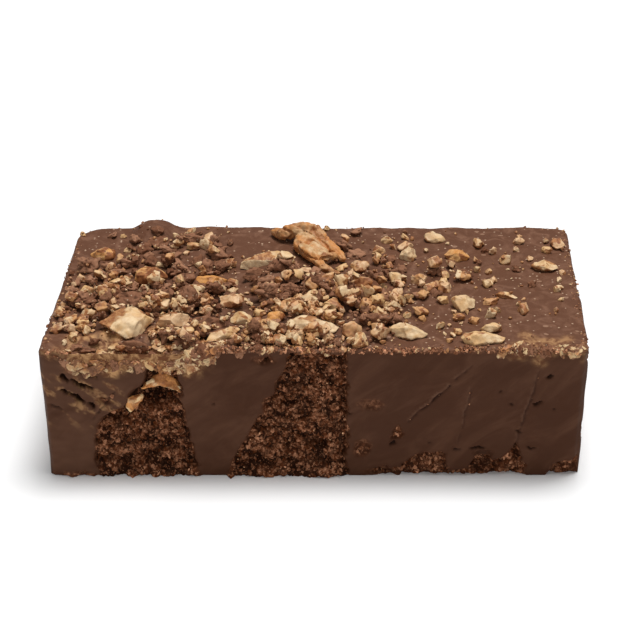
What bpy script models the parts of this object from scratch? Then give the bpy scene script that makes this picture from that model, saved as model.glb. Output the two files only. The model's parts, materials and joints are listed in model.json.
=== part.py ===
"""A slab-cut bar of chocolate fudge, topped with chopped walnuts, toasted bits and fudge crumbs.

Units are metres, +Z is up, and the bar stands on z = 0 with its length along X. The front cut,
which shows two torn, crumbly patches between smears left by the knife, faces -Y.
"""

import math
import random
from dataclasses import dataclass

import bmesh
import bpy
from mathutils import Euler, Matrix, Vector, noise

MM = 0.001

# Driving dimensions of the bar
BAR_LENGTH = 111.6 * MM
BAR_DEPTH = 58 * MM
BAR_HEIGHT = 30 * MM
TAPER = 1.8 * MM  # the slice isn't square: it is this much longer at the front than at the back
BACK_SHIFT = 2.0 * MM  # and its back edge lies this far to the right
DRAFT = 0.014  # share by which the foot of the bar is shorter than its top
MIDDLE = Vector((0.7 * MM, 0.6 * MM, 0))  # of the bar, in the coordinates of the lists below
ORIGIN = Vector((0.25 * MM, 0.6 * MM, 0))  # of the frame, in those coordinates too
EDGE_RADIUS = 1.0 * MM
CORNER_RADII = {  # in plan, by the signs of x and y
    (-1, 1): 6.5 * MM,
    (1, 1): 3.0 * MM,
    (-1, -1): 1.2 * MM,
    (1, -1): 2.0 * MM,
}
GRID = 2.4 * MM  # spacing of the bar's vertices before thinning
KEPT_SHARE = 0.28  # share of the bar's triangles that thinning keeps
SPARE_FOOT = 1.0 * MM  # below z = 0, cut off at the end for a flat foot

# Relief of the bar's faces
TOP_SWELL = 0.55 * MM
TOP_LUMPS = 0.35 * MM
CUT_SWELL = 0.3 * MM
TEAR_DEPTH = 1.3 * MM
TEAR_CRAGS = 0.9 * MM

# The rolled front edge at the left, where the knife dragged the topping down over the cut
ROLL_FROM, ROLL_TO = -54 * MM, -22 * MM
ROLL_DROP = 2.6 * MM
ROLL_REACH = 7 * MM

SEAT_GAP = 0.38 * MM  # between a nut and the fudge that it is pressed into


@dataclass(frozen=True)
class Mound:
    """A rounded swelling of the top: its middle, reach and height in millimetres."""

    x: float
    y: float
    reach_x: float
    reach_y: float
    height: float


MOUNDS = (
    Mound(-36.0, 27.0, 6.5, 9.0, 2.1),  # the fold that stands up at the back edge
    Mound(-8.0, 4.5, 8.5, 8.0, 1.7),  # under the long walnut
    Mound(-30.0, -9.0, 15.0, 10.0, 0.8),
)


@dataclass(frozen=True)
class Patch:
    """A torn patch of the front cut, as an outline of (x, z) in millimetres."""

    outline: tuple
    depth: float = 1.0


TORN_PATCHES = (
    Patch(((-45, -1), (-44.5, 12), (-40, 15.5), (-35, 20), (-33, 25), (-27.5, 25), (-26, 12), (-23, -1))),
    Patch(((-18.5, -1), (-13, 9), (-4, 28), (7.2, 29), (7.5, -1))),
    Patch(((19, -1), (19, 3), (23, 5.5), (28, 5.5), (29.5, -1)), depth=0.7),
    Patch(((32, -1), (34.5, 4.5), (40, 3.5), (42.5, 8), (45, 2), (45, -1)), depth=0.9),
    Patch(((48, -1), (51, 2.5), (56, 4.5), (57, -1)), depth=0.7),
)


@dataclass(frozen=True)
class Pit:
    """A hollow in the front cut: its middle (x, z), half width, half height and depth in millimetres."""

    x: float
    z: float
    wide: float
    high: float
    deep: float


PITS = (
    Pit(-32.5, 18.5, 5.5, 3.2, 3.6),
    Pit(-41.0, 13.5, 2.8, 1.3, 2.0),
    Pit(1.2, 7.4, 2.6, 1.6, 1.8),
    Pit(-4.9, 17.3, 2.4, 1.2, 1.6),
    Pit(36.0, 5.2, 2.4, 1.0, 1.2),
)


@dataclass(frozen=True)
class Nut:
    """A piece of nut, with its place and its sizes in millimetres.

    On the top, x and y are its place. On the front cut, z is given too, and y is how far the
    piece reaches out of the cut. turn is about Z, tilt about its own length and lean about its
    own width, in degrees. sink is the share of its height that is pressed into the fudge, and
    bow is how far its two ends hang below its middle.
    """

    x: float
    y: float
    length: float
    width: float
    height: float
    turn: float = 0.0
    tilt: float = 0.0
    lean: float = 0.0
    sink: float = 0.3
    z: float = None
    bow: float = 0.0


CREAM_NUTS = {
    "walnut_front_left": Nut(-38.9, -18.5, 10.5, 9.0, 4.6, turn=35, tilt=14),
    "walnut_long_back": Nut(-10.6, 9.6, 12.6, 5.2, 2.6, turn=17, tilt=14, lean=-7, sink=0.1),
    "walnut_long_middle": Nut(-0.6, -19.0, 11.2, 4.8, 2.8, turn=-20, tilt=10),
    "walnut_front_right": Nut(18.9, -21.7, 8.6, 5.0, 3.4, turn=-14, tilt=6),
    "walnut_front_edge": Nut(34.1, -25.2, 9.4, 3.4, 3.0, turn=6, tilt=12),
    "walnut_right": Nut(50.0, 8.6, 6.2, 4.4, 2.8, turn=-12),
    "walnut_pyramid": Nut(31.4, -10.2, 5.2, 4.6, 3.8, turn=20),
    "walnut_strip": Nut(-19.4, -22.8, 9.0, 2.8, 2.6, turn=38),
    "walnut_flake": Nut(-15.6, -15.8, 4.8, 3.8, 2.6, turn=25),
    "walnut_back_right": Nut(26.7, 22.3, 5.2, 3.2, 2.6, turn=-8),
    "walnut_low_right": Nut(36.1, -20.4, 4.8, 2.6, 2.2, turn=6),
}

TAN_NUTS = {
    "walnut_left": Nut(-35.4, 2.6, 7.6, 6.6, 4.8, turn=-10, tilt=-10),
    "walnut_left_low": Nut(-29.7, -16.7, 7.6, 4.8, 3.4, turn=18),
    "walnut_inner": Nut(-17.9, -8.6, 6.2, 4.8, 3.2, turn=-22, tilt=8),
    "walnut_knob": Nut(7.4, -21.6, 4.2, 5.6, 3.8, turn=8),
    "walnut_round": Nut(9.4, 7.8, 4.6, 5.0, 2.9, turn=-15),
    "toast_long": Nut(-22.6, 1.2, 7.2, 3.2, 2.6, turn=12, tilt=16),
    "toast_middle": Nut(-8.6, -15.4, 4.6, 2.8, 2.4, turn=22),
    "toast_back_left": Nut(-47.0, 14.5, 5.4, 5.0, 2.7, turn=12),
    "toast_right": Nut(31.3, 14.0, 5.4, 3.8, 2.7, turn=-30),
}

FRONT_NUTS = {  # these stick out of the front cut, over the hollow
    "walnut_over_hollow": Nut(-31.8, 1.1, 8.2, 4.2, 2.7, turn=4, lean=4, z=22.8, bow=2.2),
    "walnut_tip": Nut(-37.7, 0.9, 5.2, 2.6, 2.7, lean=-60, z=17.7, bow=0.7),
}

FUSED_NUTS = (  # smaller chips that are one with the bar
    Nut(8.8, -26.0, 3.9, 3.4, 3.2, turn=30),
    Nut(-7.3, -25.4, 3.3, 3.0, 2.8),
    Nut(-49.1, -3.8, 3.9, 3.8, 2.9, turn=15),
    Nut(-42.9, 0.6, 4.2, 3.0, 2.5, turn=50),
    Nut(-25.3, 8.6, 3.6, 2.6, 2.2, turn=-35),
    Nut(3.2, -10.8, 3.9, 3.6, 2.8, turn=10),
    Nut(7.6, -8.6, 3.0, 3.0, 2.6, turn=60),
    Nut(4.9, -0.4, 4.4, 2.4, 1.9, turn=-8),
    Nut(20.3, 14.0, 4.0, 3.4, 3.6),
    Nut(15.9, 22.1, 2.7, 2.5, 2.0, turn=25),
    Nut(-45.3, -10.4, 3.9, 2.8, 2.4, turn=-12),
    Nut(-1.8, 4.4, 4.0, 2.1, 2.0, turn=-28),
    Nut(13.9, 16.6, 3.4, 2.4, 2.2, turn=42),
    Nut(22.7, 2.6, 4.2, 3.4, 2.8, turn=35),
    Nut(27.6, -1.6, 3.3, 2.8, 2.4, turn=10),
    Nut(36.8, -8.4, 3.3, 2.5, 2.0, turn=20),
    Nut(54.0, 19.3, 3.4, 4.4, 2.2, turn=10),
    Nut(14.4, -9.7, 3.0, 2.4, 2.0, turn=15),
    Nut(14.0, -0.5, 3.0, 2.4, 2.0, turn=-20),
    Nut(40.6, -5.1, 5.0, 2.2, 1.6, turn=-20),
    Nut(51.2, 16.5, 2.6, 2.0, 1.8),
    Nut(45.3, 20.6, 2.6, 2.2, 1.8, turn=40),
)


@dataclass(frozen=True)
class Bend:
    """One point along an arm of the twisted kernel, with the arm's radius there, in millimetres."""

    x: float
    y: float
    rise: float
    radius: float


KERNEL_ARMS = (
    (  # from the tip at the left over the hump, then down the upper ridge
        Bend(-9.8, 25.4, 0.8, 0.6),
        Bend(-8.6, 24.0, 1.1, 1.1),
        Bend(-7.0, 22.6, 1.7, 1.5),
        Bend(-5.2, 22.4, 2.5, 1.8),
        Bend(-2.9, 21.6, 3.0, 2.4),
        Bend(-0.7, 20.2, 2.9, 2.1),
        Bend(1.1, 18.4, 2.4, 1.6),
        Bend(2.7, 16.3, 2.0, 1.4),
        Bend(4.1, 14.2, 1.7, 1.3),
        Bend(5.3, 12.6, 1.3, 1.0),
        Bend(6.0, 10.9, 0.9, 0.8),
    ),
    (  # from the middle knot down the lower ridge to the foot
        Bend(-4.0, 18.2, 1.6, 1.2),
        Bend(-3.4, 15.6, 1.8, 1.8),
        Bend(-2.0, 13.2, 1.9, 1.5),
        Bend(-0.7, 10.8, 1.8, 1.4),
        Bend(0.4, 8.4, 1.4, 1.1),
        Bend(1.5, 6.1, 1.1, 1.0),
        Bend(3.1, 4.6, 0.9, 0.8),
        Bend(5.0, 4.0, 0.8, 0.7),
    ),
    (  # the flesh between the two ridges
        Bend(-2.9, 19.4, 1.6, 2.4),
        Bend(-1.2, 17.0, 1.5, 2.4),
        Bend(0.4, 14.7, 1.3, 2.2),
        Bend(1.8, 12.7, 1.0, 1.8),
    ),
    (  # the fold that joins them at the foot
        Bend(0.1, 12.4, 1.7, 1.2),
        Bend(1.5, 10.4, 1.9, 1.1),
        Bend(3.0, 10.3, 1.7, 0.9),
        Bend(4.3, 12.1, 1.4, 0.8),
    ),
)
ARM_SIDES = 7
KERNEL_SEED = 60

FUDGE_SLABS = (  # lumps of fudge that lie on the bar and are one with it
    Nut(-39.0, -8.2, 7.6, 4.6, 3.4, turn=8),
    Nut(-22.9, -18.2, 8.6, 4.0, 3.2, turn=14),
    Nut(-5.6, -2.6, 5.0, 4.2, 3.0, turn=-10),
    Nut(-31.4, -7.6, 4.6, 5.0, 3.4, turn=25),
    Nut(-28.4, 2.2, 5.2, 4.6, 3.0, turn=5),
    Nut(-28.6, 21.0, 5.6, 4.2, 2.6, turn=10),
    Nut(-37.4, -25.0, 6.4, 3.6, 3.4),
    Nut(-13.4, 3.6, 6.0, 4.4, 2.6, turn=35),
)


@dataclass(frozen=True)
class Scatter:
    """A kind of small topping that is fused to the bar, and how it lies."""

    seed: int
    tries: int
    smallest: float
    largest: float
    evenness: float


SMALL_TOPPINGS = (
    Scatter(seed=37, tries=260, smallest=2.0, largest=3.4, evenness=0.02),
    Scatter(seed=11, tries=170, smallest=1.7, largest=2.6, evenness=0.06),
    Scatter(seed=23, tries=60, smallest=1.6, largest=2.4, evenness=0.06),
)


@dataclass(frozen=True)
class Drift:
    """A part of the top where the small topping lies thick, in millimetres."""

    x: float
    y: float
    reach_x: float
    reach_y: float
    weight: float


DRIFTS = (
    Drift(-34, -8, 19, 18, 1.0),
    Drift(2, -8, 20, 18, 0.9),
    Drift(-12, -24, 28, 8, 0.9),
    Drift(-28, 21, 6, 4, 0.7),
    Drift(24, 4, 16, 14, 0.35),
)


def smooth(value, low, high):
    """0 below low, 1 above high, and a smooth rise between."""
    share = min(1.0, max(0.0, (value - low) / (high - low)))
    return share * share * (3 - 2 * share)


def wave(point, size, seed):
    """Noise from about -1 to 1 whose bumps are about size across."""
    return noise.noise(Vector(point) / size + Vector((7.3, 3.1, 5.7)) * seed)


def inside_share(x, z, outline, blur):
    """1 well inside an outline, 0 well outside, and a ramp of width blur along its edge."""
    inside = False
    nearest = math.inf
    for (ax, az), (bx, bz) in zip(outline, outline[1:] + outline[:1]):
        if (az > z) != (bz > z) and x < (bx - ax) * (z - az) / (bz - az) + ax:
            inside = not inside
        along = ((x - ax) * (bx - ax) + (z - az) * (bz - az)) / ((bx - ax) ** 2 + (bz - az) ** 2)
        along = min(1.0, max(0.0, along))
        nearest = min(nearest, math.hypot(x - ax - along * (bx - ax), z - az - along * (bz - az)))
    return smooth(nearest if inside else -nearest, -blur / 2, blur / 2)


def torn_share(x, z, blur=0.8):
    """How torn the front cut is at (x, z), and how deep, from 0 to 1."""
    ragged = 0.9 * wave((x, 3, z), 3.5, 2)
    x, z = x + ragged, z - ragged
    return max(patch.depth * inside_share(x, z, patch.outline, blur) for patch in TORN_PATCHES)


def pit_depth(x, z):
    """Depth in millimetres of the hollows in the front cut."""
    deepest = 0.0
    for pit in PITS:
        away = math.hypot((x - pit.x) / pit.wide, (z - pit.z) / pit.high)
        deepest = max(deepest, pit.deep * (1 - smooth(away, 0.35, 1.1)))
    return deepest


def top_rise(x, y):
    """How far the top stands above or below its mean height at (x, y)."""
    rise = TOP_SWELL * wave((x, y, 0), 24 * MM, 1) + TOP_LUMPS * wave((x, y, 0), 7 * MM, 4)
    for mound in MOUNDS:
        away = math.hypot((x / MM - mound.x) / mound.reach_x, (y / MM - mound.y) / mound.reach_y)
        rise += mound.height * MM * (1 - smooth(away, 0.25, 1.0))
    along = smooth(x, ROLL_FROM, ROLL_FROM + 6 * MM) * (1 - smooth(x, ROLL_TO - 6 * MM, ROLL_TO))
    edge = BAR_DEPTH / 2 - MIDDLE.y
    over = smooth(-y, edge - ROLL_REACH, edge)
    return rise - ROLL_DROP * along * over


def front_rise(x, z):
    """How far the front cut stands out (or in, below zero) at (x, z)."""
    torn = torn_share(x / MM, z / MM)
    crags = wave((x, 0, z), 2.6 * MM, 5) + 0.6 * wave((x, 0, z), 5 * MM, 6)
    rise = CUT_SWELL * wave((x, 0, z), 22 * MM, 7)
    rise += torn * (TEAR_CRAGS * crags - TEAR_DEPTH)
    foot = 1 - smooth(z, 0, 4 * MM)
    rise += 1.9 * MM * foot * torn * smooth(-x, -14 * MM, -6 * MM)
    return rise - pit_depth(x / MM, z / MM) * MM


def side_rise(point, seed):
    """Relief of the plain cuts at the back and the two ends."""
    return CUT_SWELL * wave(point, 20 * MM, seed) + 0.16 * MM * wave(point, 5 * MM, seed + 1)


def rounded_in_plan(x, y):
    """(x, y) of the bar's box, drawn in at its four upright corners."""
    for (side_x, side_y), radius in CORNER_RADII.items():
        dx = side_x * x - (BAR_LENGTH / 2 - radius)
        dy = side_y * y - (BAR_DEPTH / 2 - radius)
        if dx > 0 and dy > 0:
            share = max(dx, dy) / math.hypot(dx, dy)
            return (
                side_x * (BAR_LENGTH / 2 - radius + dx * share),
                side_y * (BAR_DEPTH / 2 - radius + dy * share),
            )
    return x, y


def shaped(point):
    """A point of the plain box, moved to where it lies on the real bar."""
    x, y, z = point
    near = {
        "top": 1 - smooth(BAR_HEIGHT - z, 0, EDGE_RADIUS),
        "front": 1 - smooth(y + BAR_DEPTH / 2, 0, EDGE_RADIUS),
        "back": 1 - smooth(BAR_DEPTH / 2 - y, 0, EDGE_RADIUS),
        "left": 1 - smooth(x + BAR_LENGTH / 2, 0, EDGE_RADIUS),
        "right": 1 - smooth(BAR_LENGTH / 2 - x, 0, EDGE_RADIUS),
    }
    moved_x = x + near["right"] * side_rise(point, 8) - near["left"] * side_rise(point, 10)
    moved_y = y + near["back"] * side_rise(point, 12) - near["front"] * front_rise(x + MIDDLE.x, z)
    moved_x, moved_y = rounded_in_plan(moved_x, moved_y)
    moved_x *= 1 - DRAFT * (1 - z / BAR_HEIGHT) - TAPER / BAR_LENGTH * moved_y / BAR_DEPTH
    moved = Vector((moved_x + BACK_SHIFT * moved_y / BAR_DEPTH, moved_y, z)) + MIDDLE
    moved.z += near["top"] * top_rise(moved.x, moved.y)
    return moved


def box_edges(bm, axis):
    """The edges of a box that run along an axis."""
    return [e for e in bm.edges if abs((e.verts[0].co - e.verts[1].co).normalized()[axis]) > 0.999]


def gridded_box():
    """The bar's plain box with soft edges, cut into a grid that is finer where the cut is torn."""
    height = BAR_HEIGHT + SPARE_FOOT
    bm = bmesh.new()
    bmesh.ops.create_cube(bm, size=1.0)
    bmesh.ops.scale(bm, vec=(BAR_LENGTH, BAR_DEPTH, height), verts=bm.verts)
    bmesh.ops.translate(bm, vec=(0, 0, BAR_HEIGHT - height / 2), verts=bm.verts)
    upper = [e for e in bm.edges if max(v.co.z for v in e.verts) > BAR_HEIGHT / 2]
    bmesh.ops.bevel(bm, geom=upper, offset=EDGE_RADIUS, segments=2, profile=0.5, affect="EDGES")
    for axis, size in enumerate((BAR_LENGTH, BAR_DEPTH, height)):
        cuts = round(size / GRID) - 1
        bmesh.ops.subdivide_edges(bm, edges=box_edges(bm, axis), cuts=cuts, use_grid_fill=True)
    torn = [f for f in bm.faces if f.normal.y < -0.9 and is_torn(f.calc_center_median())]
    edges = {e for f in torn for e in f.edges}
    bmesh.ops.subdivide_edges(bm, edges=list(edges), cuts=1, use_grid_fill=True)
    return bm


def is_torn(point):
    """True where the front cut is torn or hollow."""
    x, z = point.x / MM, point.z / MM
    return torn_share(x, z, blur=4) > 0.02 or pit_depth(x, z) > 0.1


def slice_off(bm, place, away):
    """Cuts off what lies beyond a plane, and closes the cut."""
    everything = bm.verts[:] + bm.edges[:] + bm.faces[:]
    cut = bmesh.ops.bisect_plane(bm, geom=everything, plane_co=place, plane_no=away, clear_outer=True)
    rim = [g for g in cut["geom_cut"] if isinstance(g, bmesh.types.BMEdge)]
    if rim:
        bmesh.ops.edgenet_fill(bm, edges=rim)


def lump(name, size, seed, facets=7, detail=2, rough=0.2):
    """An angular piece, as a knife chops it: a ball made uneven, then cut flat on several sides."""
    rng = random.Random(seed)
    bm = bmesh.new()
    bmesh.ops.create_icosphere(bm, subdivisions=detail, radius=0.5)
    for vertex in bm.verts:
        vertex.co *= 1 + rough * 2 * wave(vertex.co, 0.42, seed)
    for _ in range(facets):
        away = Vector((rng.uniform(-1, 1), rng.uniform(-1, 1), rng.uniform(-0.2, 0.9))).normalized()
        slice_off(bm, away * rng.uniform(0.25, 0.4), away)
    bmesh.ops.remove_doubles(bm, verts=bm.verts, dist=0.06)
    low = Vector(min(v.co[i] for v in bm.verts) for i in range(3))
    high = Vector(max(v.co[i] for v in bm.verts) for i in range(3))
    bmesh.ops.translate(bm, vec=-(low + high) / 2, verts=bm.verts)
    bmesh.ops.scale(bm, vec=[s / (h - l) for s, h, l in zip(size, high, low)], verts=bm.verts)
    return new_object(name, bm)


def new_object(name, bm):
    """An object of this mesh, in the scene. The mesh itself is freed."""
    bmesh.ops.triangulate(bm, faces=bm.faces)
    bmesh.ops.recalc_face_normals(bm, faces=bm.faces)
    mesh = bpy.data.meshes.new(name)
    bm.to_mesh(mesh)
    bm.free()
    made = bpy.data.objects.new(name, mesh)
    bpy.context.scene.collection.objects.link(made)
    return made


def material(name, colour, roughness):
    """A plain finish for one kind of food."""
    made = bpy.data.materials.new(name)
    made.use_nodes = True
    shader = made.node_tree.nodes["Principled BSDF"]
    shader.inputs["Base Color"].default_value = (*colour, 1)
    shader.inputs["Roughness"].default_value = roughness
    shader.inputs["Metallic"].default_value = 0.0
    return made


def move_to(collection, *objects):
    """Puts objects in one collection and takes them out of all others."""
    for made in objects:
        for old in list(made.users_collection):
            old.objects.unlink(made)
        collection.objects.link(made)


def new_collection(name):
    """A collection in the scene."""
    made = bpy.data.collections.new(name)
    bpy.context.scene.collection.children.link(made)
    return made


def top_height(x, y):
    """Height of the bar's top at (x, y)."""
    return BAR_HEIGHT + top_rise(x, y)


def make_nut(name, nut, seed, grow=0.0, facets=7, detail=2):
    """One chopped piece, turned and pressed into the top or into the front cut."""
    size = Vector((nut.length, nut.width, nut.height)) * MM
    made = lump(name, size + Vector((2, 2, 2)) * grow, seed, facets, detail)
    for vertex in made.data.vertices:
        vertex.co.z -= nut.bow * MM * (2 * vertex.co.x / size.x) ** 2
    turn = Euler((math.radians(nut.tilt), math.radians(nut.lean), math.radians(nut.turn)))
    if nut.z is None:
        x, y = nut.x * MM, nut.y * MM
        place = Vector((x, y, top_height(x, y) + (0.5 - nut.sink) * size.z))
    else:
        cut = MIDDLE.y - BAR_DEPTH / 2
        place = Vector((nut.x * MM, cut - nut.y * MM + size.y / 2, nut.z * MM))
    made.data.transform(Matrix.Translation(place) @ turn.to_matrix().to_4x4())
    return made


def make_arm(name, bends, seed, grow=0.0):
    """A knobbly arm of kernel that follows its bends: rings of points, bridged and capped."""
    points = [Vector((bend.x * MM, bend.y * MM, bend.rise * MM)) for bend in bends]
    for point in points:
        point.z += top_height(point.x, point.y)
    bm = bmesh.new()
    ends = [bends[0], *bends, bends[-1]]
    shrinks = [0.55] + [1.0] * len(bends) + [0.55]
    first = points[0] - (points[1] - points[0]).normalized() * (0.6 * bends[0].radius * MM + grow)
    last = points[-1] + (points[-1] - points[-2]).normalized() * (0.6 * bends[-1].radius * MM + grow)
    path = [first, *points, last]
    older = []
    for number, (bend, shrink, place) in enumerate(zip(ends, shrinks, path)):
        along = path[min(number + 1, len(path) - 1)] - path[max(number - 1, 0)]
        turn = along.to_track_quat("Z", "Y").to_matrix().to_4x4()
        radius = bend.radius * MM * shrink * (1 + 0.35 * wave(place, 2.4 * MM, seed)) + grow
        where = Matrix.Translation(place) @ turn
        ring = bmesh.ops.create_circle(bm, segments=ARM_SIDES, radius=radius, matrix=where)["verts"]
        edges = list({e for v in ring for e in v.link_edges})
        if older:
            bmesh.ops.bridge_loops(bm, edges=older + edges)
        older = edges
    bmesh.ops.holes_fill(bm, edges=bm.edges, sides=0)
    return new_object(name, bm)


def make_kernel(seed):
    """The twisted kernel, with its arms run into each other as one solid."""
    made, *others = [make_arm(f"kernel_arm_{n}", bends, seed + n) for n, bends in enumerate(KERNEL_ARMS)]
    made.name = "walnut_kernel"
    helpers = new_collection("kernel_arms")
    move_to(helpers, *others)
    apply_boolean(made, helpers, "UNION")
    return made


def apply_modifiers(target):
    """Makes an object's modifiers part of its mesh."""
    graph = bpy.context.evaluated_depsgraph_get()
    mesh = bpy.data.meshes.new_from_object(target.evaluated_get(graph))
    target.modifiers.clear()
    target.data = mesh


def apply_boolean(target, helpers, operation):
    """Joins a collection to an object, or cuts it out, and removes the collection."""
    modifier = target.modifiers.new(operation.title(), "BOOLEAN")
    modifier.operation = operation
    modifier.operand_type = "COLLECTION"
    modifier.collection = helpers
    modifier.solver = "EXACT"
    apply_modifiers(target)
    for helper in list(helpers.objects):
        bpy.data.objects.remove(helper)
    bpy.data.collections.remove(helpers)


def connected_bodies(bm):
    """The separate bodies of a mesh, each as a set of vertices."""
    unseen = set(bm.verts)
    bodies = []
    while unseen:
        body = set()
        waiting = [unseen.pop()]
        while waiting:
            vertex = waiting.pop()
            body.add(vertex)
            near = {e.other_vert(vertex) for e in vertex.link_edges} & unseen
            unseen -= near
            waiting.extend(near)
        bodies.append(body)
    return bodies


def keep_largest_body(made):
    """Drops the loose scraps that a cut leaves."""
    bm = bmesh.new()
    bm.from_mesh(made.data)
    largest = max(connected_bodies(bm), key=len)
    bmesh.ops.delete(bm, geom=[v for v in bm.verts if v not in largest], context="VERTS")
    bm.to_mesh(made.data)
    bm.free()


def box_in_plan(made):
    """(lowest x, lowest y, highest x, highest y) of an object."""
    xs = [v.co.x for v in made.data.vertices]
    ys = [v.co.y for v in made.data.vertices]
    return min(xs), min(ys), max(xs), max(ys)


def thickness(x, y):
    """How thick the small topping lies at (x, y), from 0 to 1."""
    thickest = 0.0
    for drift in DRIFTS:
        away = math.hypot((x / MM - drift.x) / drift.reach_x, (y / MM - drift.y) / drift.reach_y)
        thickest = max(thickest, drift.weight * math.exp(-away * away))
    return thickest


def is_clear(x, y, size, taken, boxes):
    """True if a chip at (x, y) touches no chip that is there already and no nut."""
    for other_x, other_y, other in taken:
        if math.hypot(x - other_x, y - other_y) < 0.5 * (size + other):
            return False
    room = 0.62 * size
    for low_x, low_y, high_x, high_y in boxes:
        if low_x - room < x < high_x + room and low_y - room < y < high_y + room:
            return False
    return True


def small_toppings(boxes):
    """Chips and crumbs that lie on the top, clear of the nuts and of each other."""
    made = []
    taken = [(nut.x * MM, nut.y * MM, nut.length * MM) for nut in FUSED_NUTS]
    for kind in SMALL_TOPPINGS:
        for number in range(kind.tries):
            rng = random.Random(kind.seed * 1000 + number)
            x = rng.uniform(-0.48, 0.48) * BAR_LENGTH
            y = rng.uniform(-0.47, 0.46) * BAR_DEPTH
            size = rng.uniform(kind.smallest, kind.largest)
            width = size * rng.uniform(0.55, 0.85)
            chip = Nut(x / MM, y / MM, size, width, size * 0.8, turn=rng.uniform(0, 360), sink=0.4)
            if rng.random() > kind.evenness + thickness(x, y):
                continue
            if not is_clear(x, y, size * MM, taken, boxes):
                continue
            taken.append((x, y, size * MM))
            seed = kind.seed + number
            made.append(make_nut(f"chip_{seed}", chip, seed, facets=0, detail=1))
    return made


def fused_topping(boxes):
    """Everything that is one with the bar's top."""
    made = []
    for number, slab in enumerate(FUDGE_SLABS):
        made.append(make_nut(f"slab_{number}", slab, 90 + number, facets=4, detail=1))
    for number, nut in enumerate(FUSED_NUTS):
        made.append(make_nut(f"nut_{number}", nut, 40 + number, facets=4, detail=1))
    return made + small_toppings(boxes)


def make_bar(nuts, seats, finish):
    """The bar itself, with the small topping fused on and a seat for each nut."""
    bm = gridded_box()
    for vertex in bm.verts:
        vertex.co = shaped(vertex.co)
    bar = new_object("fudge_bar", bm)
    thinner = bar.modifiers.new("Thinner", "DECIMATE")
    thinner.ratio = KEPT_SHARE
    apply_modifiers(bar)
    bm = bmesh.new()
    bm.from_mesh(bar.data)
    slice_off(bm, Vector((0, 0, 0)), Vector((0, 0, -1)))
    bmesh.ops.triangulate(bm, faces=bm.faces)
    bm.to_mesh(bar.data)
    bm.free()

    boxes = [box_in_plan(nut) for nut in nuts]
    fused = new_collection("fused")
    move_to(fused, *fused_topping(boxes))
    apply_boolean(bar, fused, "UNION")
    cutters = new_collection("seats")
    move_to(cutters, *seats)
    apply_boolean(bar, cutters, "DIFFERENCE")
    keep_largest_body(bar)
    bar.data.materials.clear()
    bar.data.materials.append(finish)
    return bar


def main():
    """Clears the scene and makes the bar and its nuts."""
    for old in list(bpy.data.objects):
        bpy.data.objects.remove(old)
    cream = material("walnut_flesh", (0.62, 0.44, 0.24), 0.55)
    tan = material("toasted_walnut", (0.42, 0.23, 0.10), 0.6)
    chocolate = material("chocolate_fudge", (0.12, 0.055, 0.034), 0.5)

    nuts = []
    seats = []
    for kinds, finish in ((CREAM_NUTS, cream), (TAN_NUTS, tan), (FRONT_NUTS, cream)):
        for name, nut in kinds.items():
            seed = len(nuts) + 1
            made = make_nut(name, nut, seed)
            made.data.materials.append(finish)
            nuts.append(made)
            seats.append(make_nut(name + "_seat", nut, seed, grow=SEAT_GAP))
    kernel = make_kernel(KERNEL_SEED)
    kernel.data.materials.clear()
    kernel.data.materials.append(tan)
    nuts.append(kernel)
    for number, bends in enumerate(KERNEL_ARMS):
        seats.append(make_arm(f"kernel_seat_{number}", bends, KERNEL_SEED + number, grow=SEAT_GAP))

    bar = make_bar(nuts, seats, chocolate)
    for made in (bar, *nuts):
        made.data.transform(Matrix.Translation(-ORIGIN))
    move_to(new_collection("fudge"), bar, *nuts)


main()
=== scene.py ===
"""Visual model of a slab-cut bar of chocolate fudge, topped with chopped walnuts and crumbs.

The bar stands on z = 0 with its length along X and its torn front cut facing -Y. Lists of places
are in millimetres and in the layout's own coordinates, which ORIGIN moves onto the frame.
"""
import json
import logging
import math
import random
from collections.abc import Iterable, Iterator
from dataclasses import dataclass
from enum import Enum

import bmesh
import bpy
import numpy as np
from mathutils import Euler, Matrix, Vector, noise


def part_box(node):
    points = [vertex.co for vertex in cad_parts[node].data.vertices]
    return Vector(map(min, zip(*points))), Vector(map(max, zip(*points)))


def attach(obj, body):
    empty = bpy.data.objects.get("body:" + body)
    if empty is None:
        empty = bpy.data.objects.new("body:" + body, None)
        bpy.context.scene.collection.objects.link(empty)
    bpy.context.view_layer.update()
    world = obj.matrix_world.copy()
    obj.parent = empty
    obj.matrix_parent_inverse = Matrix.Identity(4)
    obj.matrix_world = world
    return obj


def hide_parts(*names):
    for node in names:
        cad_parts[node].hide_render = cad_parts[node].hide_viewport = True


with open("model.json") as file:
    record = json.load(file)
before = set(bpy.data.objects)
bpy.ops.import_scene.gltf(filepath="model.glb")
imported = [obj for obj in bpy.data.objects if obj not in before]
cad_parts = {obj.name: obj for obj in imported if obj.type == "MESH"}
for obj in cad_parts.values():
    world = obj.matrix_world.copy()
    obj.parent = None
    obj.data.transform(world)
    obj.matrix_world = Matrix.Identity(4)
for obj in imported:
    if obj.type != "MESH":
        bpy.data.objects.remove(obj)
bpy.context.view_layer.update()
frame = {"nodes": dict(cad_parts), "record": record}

LOG = logging.getLogger("fudge")

MM = 0.001
ORIGIN = Vector((0.25 * MM, 0.6 * MM, 0))
ROOT = "root"
BAR = "fudge_bar"
NOISE_STEP = Vector((7.3, 3.1, 5.7))
# Each list has one mark for painted shade, which darkens the colour in pits, cracks, gaps between
# crumbs and creases.
BAR_MARKS = ("torn", "top", "hollow", "stain", "bloom")
NUT_MARKS = ("tint_and_shade", "skin", "hollow")

BMesh = bmesh.types.BMesh
Colour = tuple[float, float, float]
Material = bpy.types.Material
Node = bpy.types.Node
NodeTree = bpy.types.NodeTree
Piece = bpy.types.Object
Point = tuple[float, float]
Socket = bpy.types.NodeSocket


class Slot(Enum):
    """The record's material slots."""

    FUDGE = "chocolate_fudge"
    FLESH = "walnut_flesh"
    TOASTED = "toasted_walnut"


class Kind(Enum):
    """What a small piece of topping is made of."""

    CHOCOLATE = "chocolate"
    CREAM = "cream"
    TAN = "tan"


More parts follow.
